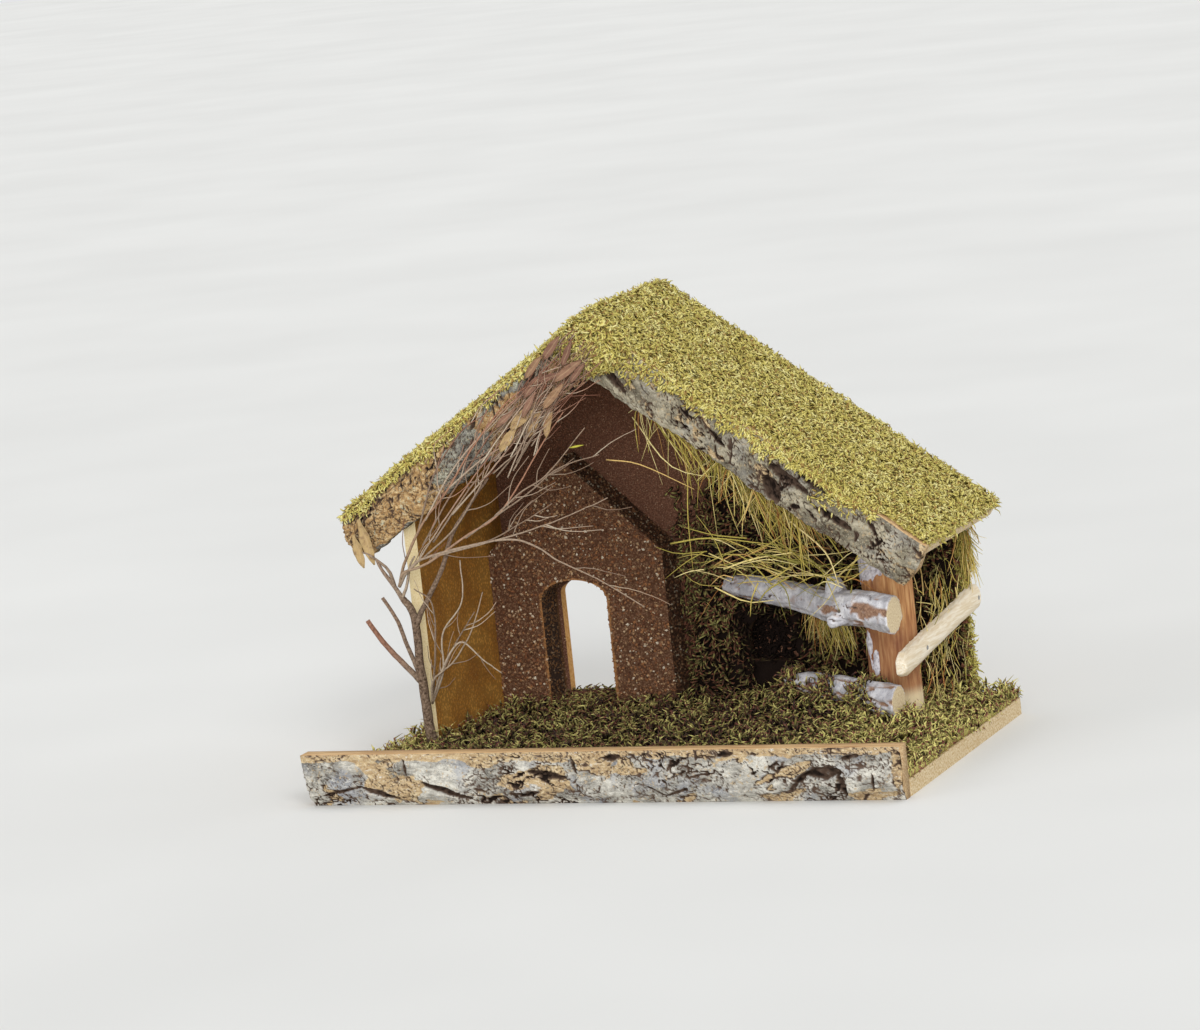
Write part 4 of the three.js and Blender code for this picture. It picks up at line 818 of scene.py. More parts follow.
def bark_relief(along, across, seed, long, wide, depth, cover, open_low, hollows=(), bare=(), fissures=0.08):
    """Height of the bark in millimetres, with its cracks, tones and the places where the inner bark shows.

    Scales of about long by wide are raised where their noise is above cover. Hollows are strokes with a
    depth, and bare strokes are where the inner bark shows. Open_low and fissures are the noise above which
    cracks branch and run across the bark.
    """
    p = np.stack([along / long, across / wide, np.full_like(along, 0.5)], axis=1)
    warp = np.stack([fbm(p * 1.4, 3, seed + 1), fbm(p * 1.4, 3, seed + 2), np.zeros(len(p))], axis=1)
    bent = p + 0.8 * warp
    scales = fbm(bent * 0.6, 4, seed + 3) + 0.12 * fbm(p * 5, 3, seed + 4)
    for stroke in bare:
        edge = 0.16 * (stroke_distance(along, across, stroke) - 1) + 0.4 * fbm(p * 1.6, 3, seed + 17)
        scales = np.minimum(scales, cover + edge)
    scale = ease(scales, cover - 0.01, cover + 0.03)
    open_here = ease(fbm(p * 0.55, 2, seed + 5), open_low, open_low + 0.25)
    rim = ease(0.035 - np.abs(scales - cover), 0, 0.03) * ease(fbm(p * 0.9, 2, seed + 6), -0.05, 0.15)
    branch = ease(0.03 + 0.03 * open_here - np.abs(fbm(bent * 1.5, 3, seed + 7)), 0, 0.03) * open_here
    across_here = ease(fbm(p * 0.9, 2, seed + 9), fissures, fissures + 0.16)
    short = ease(0.05 - np.abs(fbm(p * [2.6, 1.0, 1.0], 2, seed + 8)), 0, 0.04) * across_here
    near, second, tone = cells(bent * 2.2, seed)
    scaly = 0.55 * ease(0.09 - (second - near), 0, 0.08) * ease(fbm(p * 0.5, 2, seed + 12), 0.0, 0.16)
    near, second, _ = cells(bent * [4.0, 3.4, 1.0], seed + 5)
    crackle = 0.62 * ease(0.12 - (second - near), 0, 0.1) * ease(fbm(p * 0.8, 2, seed + 18), -0.24, 0.02)
    crack = np.maximum.reduce([0.75 * rim, branch, 0.8 * short, scaly, crackle])
    height = 1.1 * (scale - 0.5) + 1.2 * fbm(p * 0.7, 3, seed + 10) + 0.7 * fbm(p * 2.4, 3, seed + 11)
    height += 0.75 * fbm(p * 7, 3, seed + 13) - depth * crack
    for *stroke, deep in hollows:
        off = stroke_distance(along, across, stroke)
        hole = ease(1.25 - off + 0.9 * fbm(p * 2.6, 4, seed + 14), 0.0, 0.7)
        height -= deep * hole
        # the hollows darken the bark's colour too, as painted shade
        crack = np.maximum(crack, hole * (0.75 + 0.6 * fbm(p * 5, 2, seed + 15)))
    tone = 0.5 + 0.7 * fbm(p * 1.1, 3, seed + 16) + 0.12 * (tone - 0.5)
    return height, np.clip(crack, 0, 1), tone, 1 - ease(scales, cover - 0.07, cover + 0.07)


def bark_piece(name, node, rings_of, look, stations, face_points, back):
    """A sawn slab with a bark face: rings of a few back points and then a fine row of face points."""
    s, q = np.linspace(0, 1, stations + 1), np.linspace(0, 1, face_points + 1)
    rings, numbers = rings_of(s, q)
    points, body, first, last = lofted(rings)
    column = np.tile(np.arange(rings.shape[1]), 2 * stations)
    ends = np.ones(len(first) + len(last), dtype=int)
    soup = Soup(*numbers)
    for key, values in numbers.items():
        whole = np.concatenate([np.zeros((len(s), back)), values], axis=1)
        numbers[key] = np.concatenate([whole.reshape(-1), [0.0, 0.0]])
    soup.add(points, np.concatenate([body, first, last]), np.concatenate([(column < back).astype(int), ends]),
             **numbers)
    show(soup, name, [look, RAW_CUT], node)


def slab_rings(side, seed, hollows, **relief):
    """Rings of a roof slab from the ridge down, cut upright at the ridge and rounded at the lower end."""
    def rings_of(s, q):
        big_s, big_q = np.meshgrid(s, q, indexing="ij")
        top = SLAB_RISE + 0.8 * uneven(16 * s, 0, side.phase)
        bottom = SLAB_RISE - side.width * (1 + 0.05 * uneven(11 * s, 3, side.phase))
        rag = 1.6 * fbm(np.stack([s * side.slope / 5, 0 * s, 0 * s + 3], axis=1), 3, seed)
        w = top[:, None] + (bottom - top + rag)[:, None] * big_q
        found = bark_relief((big_s * side.slope).ravel(), w.ravel(), seed, hollows=hollows, **relief)
        height, crack, tone, patch = (values.reshape(big_s.shape) for values in found)
        height = height * np.minimum(1, 6 * np.minimum(big_q, 1 - big_q) + 0.25)
        face = np.maximum(slab_depth(side, big_s, big_q) + height, 1.5)
        back_w = np.stack([w[:, -1], (w[:, -1] + w[:, 0]) / 2, w[:, 0]], axis=1)
        all_w = np.concatenate([back_w, w], axis=1)
        all_depth = np.concatenate([np.zeros_like(back_w), face], axis=1)
        across = (top[:, None] - all_w) / (top - bottom)[:, None]
        start = (GAP / 2 - all_w * math.sin(side.pitch)) / math.cos(side.pitch)
        end = side.length - side.round_end * (2 * across - 1) ** 2
        places = roof_at(side, start + (end - start) * s[:, None], BARK_BACK - all_depth, all_w)
        return places, {"crack": crack, "tone": tone, "patch": patch}

    return rings_of


RIGHT_HOLLOWS = ((150, -20, 163, -27, 6.5, 5.5), (152, -9, 181, -11, 3.4, 4.5), (173, -2, 201, -3, 3.2, 4.5),
                 (190, -16, 218, -15, 2.4, 3.5), (228, -4, 236, -9, 1.4, 2.5), (262, -3, 270, -5, 1.4, 2.5),
                 (16, -16, 34, -22, 3.2, 4), (104, -12, 116, -15, 1.4, 2))
LEFT_HOLLOWS = ((98, -5, 102, -8, 3.4, 4.5), (143, -17, 146, -18, 1.8, 3), (44, -8, 52, -12, 3.8, 4.5),
                (24, 0, 30, -4, 3.0, 3.5), (66, -26, 78, -24, 2.0, 3))
right_rings = slab_rings(RIGHT, seed=41, hollows=RIGHT_HOLLOWS, long=15, wide=10, depth=2.2, cover=-0.12,
                         open_low=-0.1, fissures=0.0)
left_rings = slab_rings(LEFT, seed=57, hollows=LEFT_HOLLOWS, long=15, wide=12, depth=2.6, cover=0.14,
                        open_low=-0.2, fissures=-0.14)
bark_piece("right_roof_bark", "roof_right_bark", right_rings, RIGHT_BARK, stations=360,
           face_points=48, back=3)
bark_piece("left_roof_bark", "roof_left_bark", left_rings, LEFT_BARK, stations=320,
           face_points=50, back=3)

PLANK_HOLLOWS = ((68, 16, 102, 4, 1.9, 3.5), (145, 22, 172, 18, 2.1, 3.5), (152, 9, 138, 6, 1.4, 2.5),
                 (176, 32, 180, 21, 1.3, 2.5), (199, 30, 210, 31, 1.9, 3), (278, 31, 287, 32, 2.2, 3),
                 (324, 8, 337, 19, 1.8, 4), (337, 19, 359, 20, 3.6, 4.5), (358, 18, 361, 4, 2.2, 3.5),
                 (361, 28, 372, 30, 1.8, 3), (-6, 8, 26, 14, 1.1, 2), (26, 13, 52, 4, 1.3, 2.5),
                 (57, 31, 58, 21, 1.1, 2.5), (228, 12, 240, 5, 1.1, 2), (240, 5, 255, 10, 1.1, 2),
                 (381, 18, 381, 8, 1.0, 2))
PLANK_BARE = ((14, 36, 64, 1, 4.6), (75, 33, 174, 29, 2.4), (149, 3, 168, 14, 2.8), (182, 24, 228, 22, 4.8),
              (303, 13, 339, 24, 3.8), (363, 4, 398, 5, 3.0), (397, 5, 397, 33, 2.6), (56, 20, 66, 8, 3.4))


def plank_rings(s, q):
    """Rings of the front plank from left to right, with a slanted left end and a bare band under its top."""
    big_s, big_q = np.meshgrid(s, q, indexing="ij")
    bulge = 0.8 + 0.2 * np.sin(np.pi * (0.15 + 0.75 * big_q))
    swell = 1.2 * uneven(26 * big_s, 5 * big_q, 0.6) * np.sin(np.pi * big_q) + 4 * ease(big_q, 0.75, 1)
    along = -PLANK_OVERHANG + (BASE_WIDTH + PLANK_OVERHANG) * big_s
    up = PLANK_HEIGHT * (1 - big_q)
    found = bark_relief(along.ravel(), up.ravel(), seed=73, long=19, wide=11, depth=2.3, cover=-0.2,
                        open_low=-0.02, hollows=PLANK_HOLLOWS, bare=PLANK_BARE)
    height, crack, tone, patch = (values.reshape(big_s.shape) for values in found)
    height = height * np.minimum(1, 6 * np.minimum(big_q, 1 - big_q) + 0.2)
    y = np.maximum(swell - PLANK_THICKNESS * bulge - height, -PLANK_THICKNESS - 1.2)
    y = np.minimum(y, -3.0)
    top_y = -GAP + (y[:, :1] + GAP) * np.array([0.0, 0.33, 0.66])
    all_y = np.concatenate([np.full((len(s), 2), -GAP), top_y, y], axis=1)
    back_z = np.tile([0.0, PLANK_HEIGHT / 2, PLANK_HEIGHT, PLANK_HEIGHT, PLANK_HEIGHT], (len(s), 1))
    all_z = np.concatenate([back_z, up], axis=1)
    slant = PLANK_END_SLANT * (1 - all_z / PLANK_HEIGHT) * np.maximum(0, 1 - 10 * s)[:, None]
    places = np.stack([along[:, :1] + slant, all_y, all_z], axis=2)
    cell = np.stack([along.ravel() / 13, up.ravel() / 9, 0 * up.ravel()], axis=1)
    ragged_up = up + 3 * fbm(cell, 3, 6).reshape(up.shape)
    top_band = ease(ragged_up, PLANK_HEIGHT - 5.0, PLANK_HEIGHT - 3.5)
    return places, {"crack": crack, "tone": tone, "patch": np.maximum(patch, top_band * (1 - crack))}


bark_piece("front_plank", "front_bark_plank", plank_rings, PLANK_BARK, stations=520,
           face_points=48, back=5)


# Granules on the house front and the rear wall

SIDE_SHADE, SIDE_COLOUR = 0.6, "2a1a10"     # the panel's right side, which stands in its own shade


def granules(name, node, count, rng, keep, size, look):
    """Small crushed grains stuck on the faces of a CAD node."""
    places, normals = scatter(node, count, rng, keep)
    corner = np.concatenate([[row, -row] for row in np.eye(3)])
    over = [[0, 2, 4], [2, 1, 4], [1, 3, 4], [3, 0, 4]]
    under = [[2, 0, 5], [1, 2, 5], [3, 1, 5], [0, 3, 5]]
    a = unit(rng.normal(size=(count, 3)))
    b = unit(np.cross(a, rng.normal(size=(count, 3))))
    frames = np.stack([a, b, np.cross(a, b)], axis=1)
    scale = rng.uniform(*size, (count, 1)) * rng.uniform(0.55, 1.25, (count, 3)) / 2
    points = np.einsum("kc,nc,ncd->nkd", corner, scale, frames) + (places + 0.15 * normals)[:, None]
    faces = (np.array(over + under) + 6 * np.arange(count)[:, None, None]).reshape(-1, 3)
    soup = Soup("tone", "shade")
    soup.add(points.reshape(-1, 3), faces, tone=np.repeat(rng.random(count), 6),
             shade=np.repeat(ease(normals[:, 0], 0.2, 0.6), 6))
    piece = soup.build(name, [look], smooth=False)
    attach(piece, "root")


def painted_door_glow_and_shade(look, base):
    """Paints shade on the sides of the doorway and a painted orange glow on its front and rear edges."""
    across = look.absolute(look.minus(look.bench_place(0), DOOR_X))
    above = look.larger(look.times(look.minus(look.bench_place(2), DOOR_SPRING), DOOR_HALF / DOOR_RISE), 0.0)
    far = look.reckon("SQRT", look.plus(look.times(across, across), look.times(above, above)))
    front = look.turned_to_front(0.3, 0.8)
    inside = look.times(look.minus(1.0, front), look.between(far, DOOR_HALF + 3.0, DOOR_HALF + 2.0))
    # painted shade on the sides of the doorway
    base = look.mix(look.times(inside, 0.7), base, "2a190f")
    # painted orange glow of the light from behind, on the doorway's front and rear edges
    wavy = look.plus(far, look.times(look.cloud(5, detail=3), 6.0))
    rim = look.times(front, look.between(wavy, DOOR_HALF + 5.6, DOOR_HALF + 3.4))
    rear = look.times(inside, look.between(look.bench_place(1), REAR_WALL_Y - 5.0, REAR_WALL_Y - 1.0))
    return look.mix(look.times(look.larger(rim, rear), 0.6), base, "b98450")


def granule_look(name, *stops, with_painted_door_glow_and_side_shade=False):
    look = Look(name, roughness=0.85, specular=0.25)
    grain = look.cloud(0.8, detail=2)
    base = look.darkened(look.ramp(look.number("tone"), *stops), "1c100a", 0.25, grain, 0.35, 0.7)
    if with_painted_door_glow_and_side_shade:
        # painted shade and glow in the doorway, and painted shade on the grains of the panel's right side
        base = painted_door_glow_and_shade(look, base)
        base = look.mix(look.times(look.number("shade"), SIDE_SHADE), base, SIDE_COLOUR)
    return look.finish(base, grain, 0.2)


def coat_look():
    """The coat between the granules of the house front: fine dark grains."""
    look = Look("cork_coat", roughness=0.9, specular=0.2)
    grain = look.specks(1.6)
    base = look.ramp(grain, (0.1, "80604a"), (0.55, "573a28"))
    base = look.lay(base, "a88a66", look.cloud(0.96, detail=3), 0.6, 0.72)
    # painted shade and glow in the doorway, then painted shade on the panel's right side
    base = painted_door_glow_and_shade(look, base)
    base = look.lay(base, SIDE_COLOUR, look.facing(0), 0.2, 0.6, SIDE_SHADE)
    return look.finish(base, grain, 0.4)


CORK_COAT = coat_look()
CORK_GRAINS = granule_look("cork_grains", (0.0, "4c3020"), (0.3, "7c4e34"), (0.5, "a8744a"), (0.68, "8a6248"),
                           (0.84, "c09a70"), (0.94, "d6c0a0"), (1.0, "ece2cc"), with_painted_door_glow_and_side_shade=True)
REAR_GRAINS = granule_look("rear_wall_grains", (0.0, "6e4838"), (0.5, "9a6c52"), (0.85, "b88c6c"),
                           (1.0, "d2b698"))
granules("cork_grains", "facade_panel", 8000, np.random.default_rng(31),
         lambda n, c: (n[:, 1] < 0.5) & (n[:, 2] > -0.9) & (c[:, 2] > 14),
         size=(1.0, 2.8), look=CORK_GRAINS)
granules("rear_wall_grains", "back_wall", 5000, np.random.default_rng(32),
         lambda n, c: (n[:, 1] < -0.5), size=(0.6, 1.3), look=REAR_GRAINS)


# Rails, post and side rail, skinned over the CAD solids

def skin_piece(name, node, size, shape, look):
    """Rebuilds a node with an even skin. shape(points, normals) gives the push and the numbers."""
    points, faces, normals = remeshed(node, size)
    push, numbers = shape(points, normals)
    soup = Soup(*numbers)
    soup.add(points + normals * push[:, None], faces, **numbers)
    show(soup, name, [look], node)


def rail_point(radius, height, along):
    clear = math.hypot(POST_HALF * RAIL_SQUARE[0], POST_DEPTH * RAIL_SQUARE[1]) + radius - RAIL_SEAT
    return np.array([POST_X, POST_REAR, height]) - clear * RAIL_SQUARE + along * RAIL_ALONG


def birch_shape(radius, height, reach, seed):
    start = rail_point(radius, height, 0)

    def shape(points, normals):
        way = (points - start) @ RAIL_ALONG
        off = points - start - way[:, None] * RAIL_ALONG
        angle = np.arctan2(off[:, 2], off @ RAIL_SQUARE)
        p = np.stack([way / 17, 2.2 * np.cos(angle), 2.2 * np.sin(angle)], axis=1)
        warp = np.stack([fbm(p * 1.7, 3, seed + k) for k in range(3)], axis=1)
        near, second, tone = cells(p + 0.6 * warp, seed)
        sheet = ease(fbm(p * 0.9, 3, seed + 4) + 0.3 * (tone - 0.5), -0.32, -0.17)
        crack = ease(0.1 - (second - near), 0, 0.08) * ease(fbm(p * 0.7, 2, seed + 5), 0.02, 0.3)
        cut = ease(way, 0.5 * reach, 0.6 * reach) * ease(normals[:, 0], 0.9, 0.97)
        rough = 0.8 * fbm(p * 2.2, 3, seed + 6) + 0.35 * fbm(p * 7, 2, seed + 8)
        return (1.1 * sheet + rough - crack - 0.9) * (1 - cut), {"bark": sheet, "crack": crack, "cut": cut}

    return shape


def birch_look():
    look = Look("birch_bark", roughness=0.7, specular=0.25)
    streaks = look.cloud(1.6, detail=3)
    white = look.ramp(look.cloud(9, detail=4, rough=0.65), (0.3, "a5a4aa"), (0.5, "c8c7cc"), (0.68, "e8e7e9"))
    white = look.lay(white, "77747e", streaks, 0.58, 0.7, 0.6)
    white = look.lay(white, "a88a74", look.cloud(12, detail=4, rough=0.6), 0.54, 0.68, 0.55)
    inner = look.ramp(streaks, (0.3, "7c5c4a"), (0.6, "a4826a"), (0.8, "bfa188"))
    base = look.mix(look.number("bark"), inner, white)
    base = look.lay(base, "57463e", look.number("crack"), 0.2, 0.9)
    rings = look.ramp(look.cloud(1.2, detail=3), (0.3, "c9ae84"), (0.7, "ecdcb8"))
    return look.finish(look.mix(look.number("cut"), base, rings), streaks, 0.3)


BIRCH = birch_look()
skin_piece("birch_rail_upper", "upper_rail", 0.9, birch_shape(*UPPER_RAIL), BIRCH)
skin_piece("birch_rail_lower", "lower_rail", 0.9, birch_shape(*LOWER_RAIL), BIRCH)


def post_shape(points, normals):
    """Ribs of sawn wood in front, with spots of white bark given by their middles and half sizes."""
    p = points / [7.0, 7.0, 16.0]
    bark = np.zeros(len(points))
    for x, z, wide, high in ((334, 126, 9, 14), (345, 125, 10, 8), (335, 70, 2.5, 11), (340, 60, 2.4, 9)):
        off = np.hypot((points[:, 0] - x) / wide, (points[:, 2] - z) / high)
        bark = np.maximum(bark, ease(1.15 - off + 0.9 * fbm(p * 2, 3, 5), 0, 0.2))
    bark *= ease(-normals[:, 1], -0.2, 0.2)
    push = 0.7 * bark + 0.55 * fbm(p, 3, 6) + 0.45 * fbm(points / [2.2, 2.2, 26.0], 3, 8) - 0.4
    return push * ease(-normals[:, 1], -0.5, 0.1), {"bark": bark}


def post_look():
    look = Look("post_wood", roughness=0.75, specular=0.2)
    fibres = look.cloud(1.6, detail=4, at=look.stretched(1, 1, 0.08))
    wood = look.ramp(fibres, (0.28, "8e5c3a"), (0.5, "bf8a5a"), (0.72, "dbae7a"))
    wood = look.lay(wood, "8a5842", look.cloud(14, detail=3), 0.52, 0.7, 0.5)
    # painted shade on the post below the rail
    wood = look.lay(wood, "6e4234", look.bench_place(2), 92.0, 74.0, 0.45)
    beside = look.between(look.bench_place(0), POST_X + 5.0, POST_X + 9.0)
    foot = look.times(look.between(look.bench_place(2), 44.0, 34.0), beside)
    wood = look.mix(look.times(foot, 0.85), wood, "ecdab2")
    white = look.ramp(look.cloud(2.2, detail=4), (0.3, "9b949c"), (0.55, "d8d4da"), (0.75, "f0eef0"))
    base = look.lay(wood, white, look.number("bark"), 0.3, 0.6)
    return look.finish(base, fibres, 0.5)


def side_shape(points, normals):
    return 0.35 * fbm(points / [3.0, 30.0, 3.0], 3, 3) + 0.25 * fbm(points / 9, 2, 4) - 0.15, {}


skin_piece("post", "right_post", 1.1, post_shape, post_look())
skin_piece("side_stick", "side_rail", 1.0, side_shape, PEELED)


# Dry branch

def bend(across, high, forward=0.0):
    """A place of the dry branch, which leans to the front between 40 and 120 mm up."""
    lean = min(1.0, max(0.0, (high - 40) / 80))
    return np.array([TRUNK_X + across, TRUNK_Y + (TWIG_Y - TRUNK_Y) * lean - forward, high])


def under_roof(line, below):
    """Pushes the points of a line down where they are less than below under the roof boards' top."""
    for side in (LEFT, RIGHT):
        over = (line - np.array([RIDGE_X, 0, RIDGE_HEIGHT])) @ side.out + below
        line = line - np.maximum(over, 0)[:, None] * side.out
    return line


def twig_look():
    look = Look("dry_twig", roughness=0.85, specular=0.2)
    grain = look.cloud(1.5, detail=3)
    tone = look.number("tone")
    thick = look.ramp(grain, (0.3, "4a3a2e"), (0.55, "7b6654"), (0.75, "a3917c"))
    pale = look.ramp(tone, (0.0, "84705e"), (0.5, "a8947f"), (0.8, "c9baa4"), (1.0, "9c8064"))
    base = look.mix(look.number("thin"), thick, pale)
    base = look.mix(look.number("red"), base, look.ramp(tone, (0.2, "804c3a"), (0.8, "ac745c")))
    base = look.darkened(base, "2c2018", 0.4, grain, 0.3, 0.5)
    base = look.mix(look.number("green"), base, "c2bc4c")
    return look.finish(base, grain, 0.3)


TWIG = twig_look()


def grow(soup, rng, points, start, end, thin, sides=7, wobble=0.6, red=0.0):
    """One twig along rough points, from a start to an end radius; gives back its smooth line."""
    length = np.linalg.norm(np.diff(np.asarray(points), axis=0), axis=1).sum()
    line = smooth_line(points, max(5, int(length / 4)))
    t = np.linspace(0, 1, len(line))

    def chance(size, octaves, seed):
        return fbm(np.stack([t * length / size, t * 0 + rng.random() * 50, t * 0], 1), octaves, seed)

    shake = np.stack([chance(9, 3, k) for k in range(3)], 1)
    line = under_roof(line + shake * wobble * np.minimum(1, 6 * t)[:, None] * [1, 0.6, 1], 2)
    radii = (start + (end - start) * t ** 0.8) * (1 + 0.12 * chance(5, 2, 9))
    body, faces = tube(line, radii, sides)
    reddish = np.concatenate([np.repeat(red * ease(t, 0.1, 0.8), sides), [0.0, red]])
    soup.add(body, faces, thin=thin, red=reddish, tone=rng.random())
    return line


def side_twigs(soup, rng, line, count, length, radius, up_share, red=0.0, low_y=66.0):
    """Fine twigs that leave a line at random places, forward along it and a little up or down."""
    for _ in range(count):
        i = min(int(rng.uniform(0.15, 0.98) * (len(line) - 1)), len(line) - 2)
        root = line[i]
        way = unit(line[i + 1] - line[i])
        turn = rng.uniform(0.3, 0.85) * (1 if rng.random() < up_share else -1)
        spin = np.array([way[0] * math.cos(turn) - way[2] * math.sin(turn), 0,
                         way[0] * math.sin(turn) + way[2] * math.cos(turn)])
        reach = rng.uniform(*length)
        lift = rng.uniform(-0.12, 0.05)
        middle = root + spin * reach * 0.5 + np.array([0, lift * reach * 0.5, 0])
        tip = root + (spin * 0.8 + way * 0.35) * reach + np.array([0, lift * reach, 0])
        tip[1] = max(tip[1], low_y - 4)
        grow(soup, rng, [root, middle, tip], radius, radius * 0.45, 1.0, sides=4, wobble=0.9, red=red)


rng = np.random.default_rng(51)
soup = Soup("tone", "thin", "red")
foot = np.array([TRUNK_X, TRUNK_Y, BASE_TOP])
grow(soup, rng, [foot, bend(-1, 30), bend(-1, 53), bend(0, 82), bend(1, 110), bend(-5, 122)],
     start=3.9, end=2.3, thin=0.0, sides=11, wobble=1.0)
for points, start, end, red in (
        ([(-1, 62), (-12, 76), (-24, 90), (-34, 107)], 2.2, 1.7, 0.6),
        ([(-2, 68), (-8, 91), (-12, 107), (-20, 123)], 1.7, 1.2, 0.1),
        ([(-4, 119), (-10, 130), (-17, 140), (-21, 148)], 1.9, 1.0, 0.1),
        ([(1, 102), (9, 115), (26, 141), (37, 165), (52, 184), (67, 201)], 2.3, 1.0, 0.1)):
    grow(soup, rng, [bend(*p) for p in points], start, end, thin=0.25, sides=8, red=red)
for points in ([(-10, 130), (-14, 142), (-26, 152), (-31, 154)], [(-6, 121), (-1, 131), (2, 142), (7, 150)]):
    grow(soup, rng, [bend(*p) for p in points], start=1.3, end=0.6, thin=0.6, sides=6)
show(soup, "tree_stem", [TWIG], "tree_trunk")

# The fan: three main routes from the heel, then its forks. Reddish are those that end near the leaves.
FAN_AHEAD, FAN_MAINS, FAN_BUD = 4.1, 3, 9
FAN_ROUTES = (
    ((4, 142), (22, 151), (75, 160), (97, 155), (114, 144), (139, 132), (170, 112)),
    ((0, 140), (18, 146), (48, 163), (71, 175), (88, 193), (110, 222), (128, 243)),
    ((2, 148), (18, 173), (37, 193), (60, 222), (90, 252), (118, 268)),
    ((22, 151), (60, 158), (90, 171), (113, 183)),
    ((22, 150), (75, 161), (110, 170), (153, 185)),
    ((48, 162), (70, 175), (96, 190), (120, 206), (150, 214)),
    ((16, 150), (40, 168), (58, 190), (72, 212), (86, 238)),
    ((14, 168), (30, 205), (52, 232), (70, 243)),
    ((40, 196), (66, 214), (100, 232), (134, 262)),
    ((71, 176), (90, 190), (112, 203), (142, 232)),
    ((20, 175), (44, 208), (74, 236), (100, 256), (126, 262)),
    ((10, 146), (30, 170), (62, 206), (92, 236)),
    ((16, 158), (40, 190), (72, 228), (112, 272)),
    ((24, 160), (56, 196), (94, 232), (136, 268)),
    ((40, 178), (70, 205), (104, 236), (146, 262)),
)
reddish = [k in (1, 2, 7, 8) or k > 9 for k in range(len(FAN_ROUTES))]
rng = np.random.default_rng(52)
soup = Soup("tone", "thin", "red", "green")
heel = bend(-10, 130) + np.array([3.3, 0, 0])
fan_lines = []
for k, route in enumerate(FAN_ROUTES):
    points = [heel] * (k < FAN_MAINS) + [bend(x, z, FAN_AHEAD) for x, z in route]
    fan_lines.append(grow(soup, rng, points, start=1.2 if k < FAN_MAINS else 0.75, end=0.36, thin=0.75,
                          sides=6, wobble=0.45, red=0.7 if reddish[k] else 0.1))
for k, line in enumerate(fan_lines):
    side_twigs(soup, rng, line, count=5 if k < FAN_MAINS else 4, length=(14, 42), radius=0.42, up_share=0.55,
               red=0.8 if reddish[k] else 0.2)
bud = fan_lines[FAN_BUD][-4] + np.linspace(0, 1, 6)[:, None] * [11.0, -1.0, 1.5]
body, faces = tube(bud, np.array([0.5, 1.8, 2.6, 2.2, 1.4, 0.2]), 6, flat=0.3)
soup.add(body, faces, thin=1.0, tone=0.5, green=1.0)
show(soup, "twig_fan", [TWIG], "tree_twigs")

LOW_AHEAD = 8.2
LOW_ROUTES = (
    ((20, 72), (33, 92), (50, 113)),
    ((20, 72), (24, 98), (42, 120), (44, 148)),
    ((16, 84), (20, 118), (8, 130)),
    ((20, 74), (36, 92), (50, 80), (62, 70)),
    ((12, 66), (30, 80), (46, 101), (58, 126)),
)
rng = np.random.default_rng(53)
soup = Soup("tone", "thin", "red")
heel = bend(-1, 48) + np.array([4.8, 0, 0])
low_routes = [[heel] + [bend(x, z, LOW_AHEAD) for x, z in route] for route in LOW_ROUTES]
low_lines = [grow(soup, rng, route, start=0.95, end=0.4, thin=0.6, sides=6) for route in low_routes]
for line in low_lines:
    side_twigs(soup, rng, line, count=4, length=(10, 26), radius=0.45, up_share=0.6, red=0.2, low_y=60.0)
show(soup, "low_twig_fan", [TWIG], "low_twigs")


# Dry leaves

def leaf_look():
    look = Look("dry_leaf", roughness=0.7, specular=0.3)
    base = look.ramp(look.number("tone"), (0.0, "6c483a"), (0.4, "8e6a56"), (0.7, "a2825c"), (1.0, "b69c6c"))
    base = look.lay(base, "6e5040", look.cloud(3.5, detail=4), 0.5, 0.65, 0.5)
    base = look.lay(base, "bca07c", look.number("vein"), 0.82, 1.0, 0.5)
    return look.finish(base, look.cloud(0.9, detail=2), 0.25)


LEAF = leaf_look()


def leaf(soup, rng, root, reach, width, cup, twist, tone):
    """A thin pointed blade with a raised middle, curled along its length."""
    steps, half_count, thick = 8, 3, 0.25
    ahead = unit(reach)
    across = unit(np.cross(FORWARD, ahead))
    normal = np.cross(across, ahead)
    t = np.linspace(0, 1, steps + 1)
    half = width / 2 * np.sin(np.pi * (0.02 + 0.96 * t) ** 0.85) ** 0.8 + 0.12
    angle = twist * (t - 0.5)
    curl = cup * np.sin(np.pi * t) + 0.08 * np.linalg.norm(reach) * (t ** 2) * rng.uniform(-1, 1)
    centre = root + reach * t[:, None] + FORWARD * curl[:, None]
    side = across * np.cos(angle)[:, None] + normal * np.sin(angle)[:, None]
    lift = np.cross(side, ahead)
    share = np.linspace(-1, 1, 2 * half_count + 1)
    wave = 0.1 * width * np.sin(5 * t[:, None] * np.pi + 2 * share)
    arch = 0.3 * width * (1 - share ** 2) * np.sin(np.pi * t)[:, None]
    over = centre[:, None] + side[:, None] * (half[:, None] * share)[:, :, None]
    over = over + lift[:, None] * (wave + arch + thick)[:, :, None]
    under = over - lift[:, None] * (2 * thick * (1.02 - share ** 2))[None, :, None]
    points, body, first, last = lofted(np.concatenate([over, under[:, ::-1]], axis=1))
    vein = np.concatenate([np.tile(1 - np.abs(share), 2 * steps + 2), [1, 1]])
    soup.add(points, np.concatenate([body, first, last]), tone=tone, vein=vein)


def way_in(heading, back):
    """A way at an angle to level, seen from the front, with a part that goes back."""
    return np.array([math.cos(heading), back, math.sin(heading)])


def on_slope(u, w, y):
    return roof_at(LEFT, u, y, w)


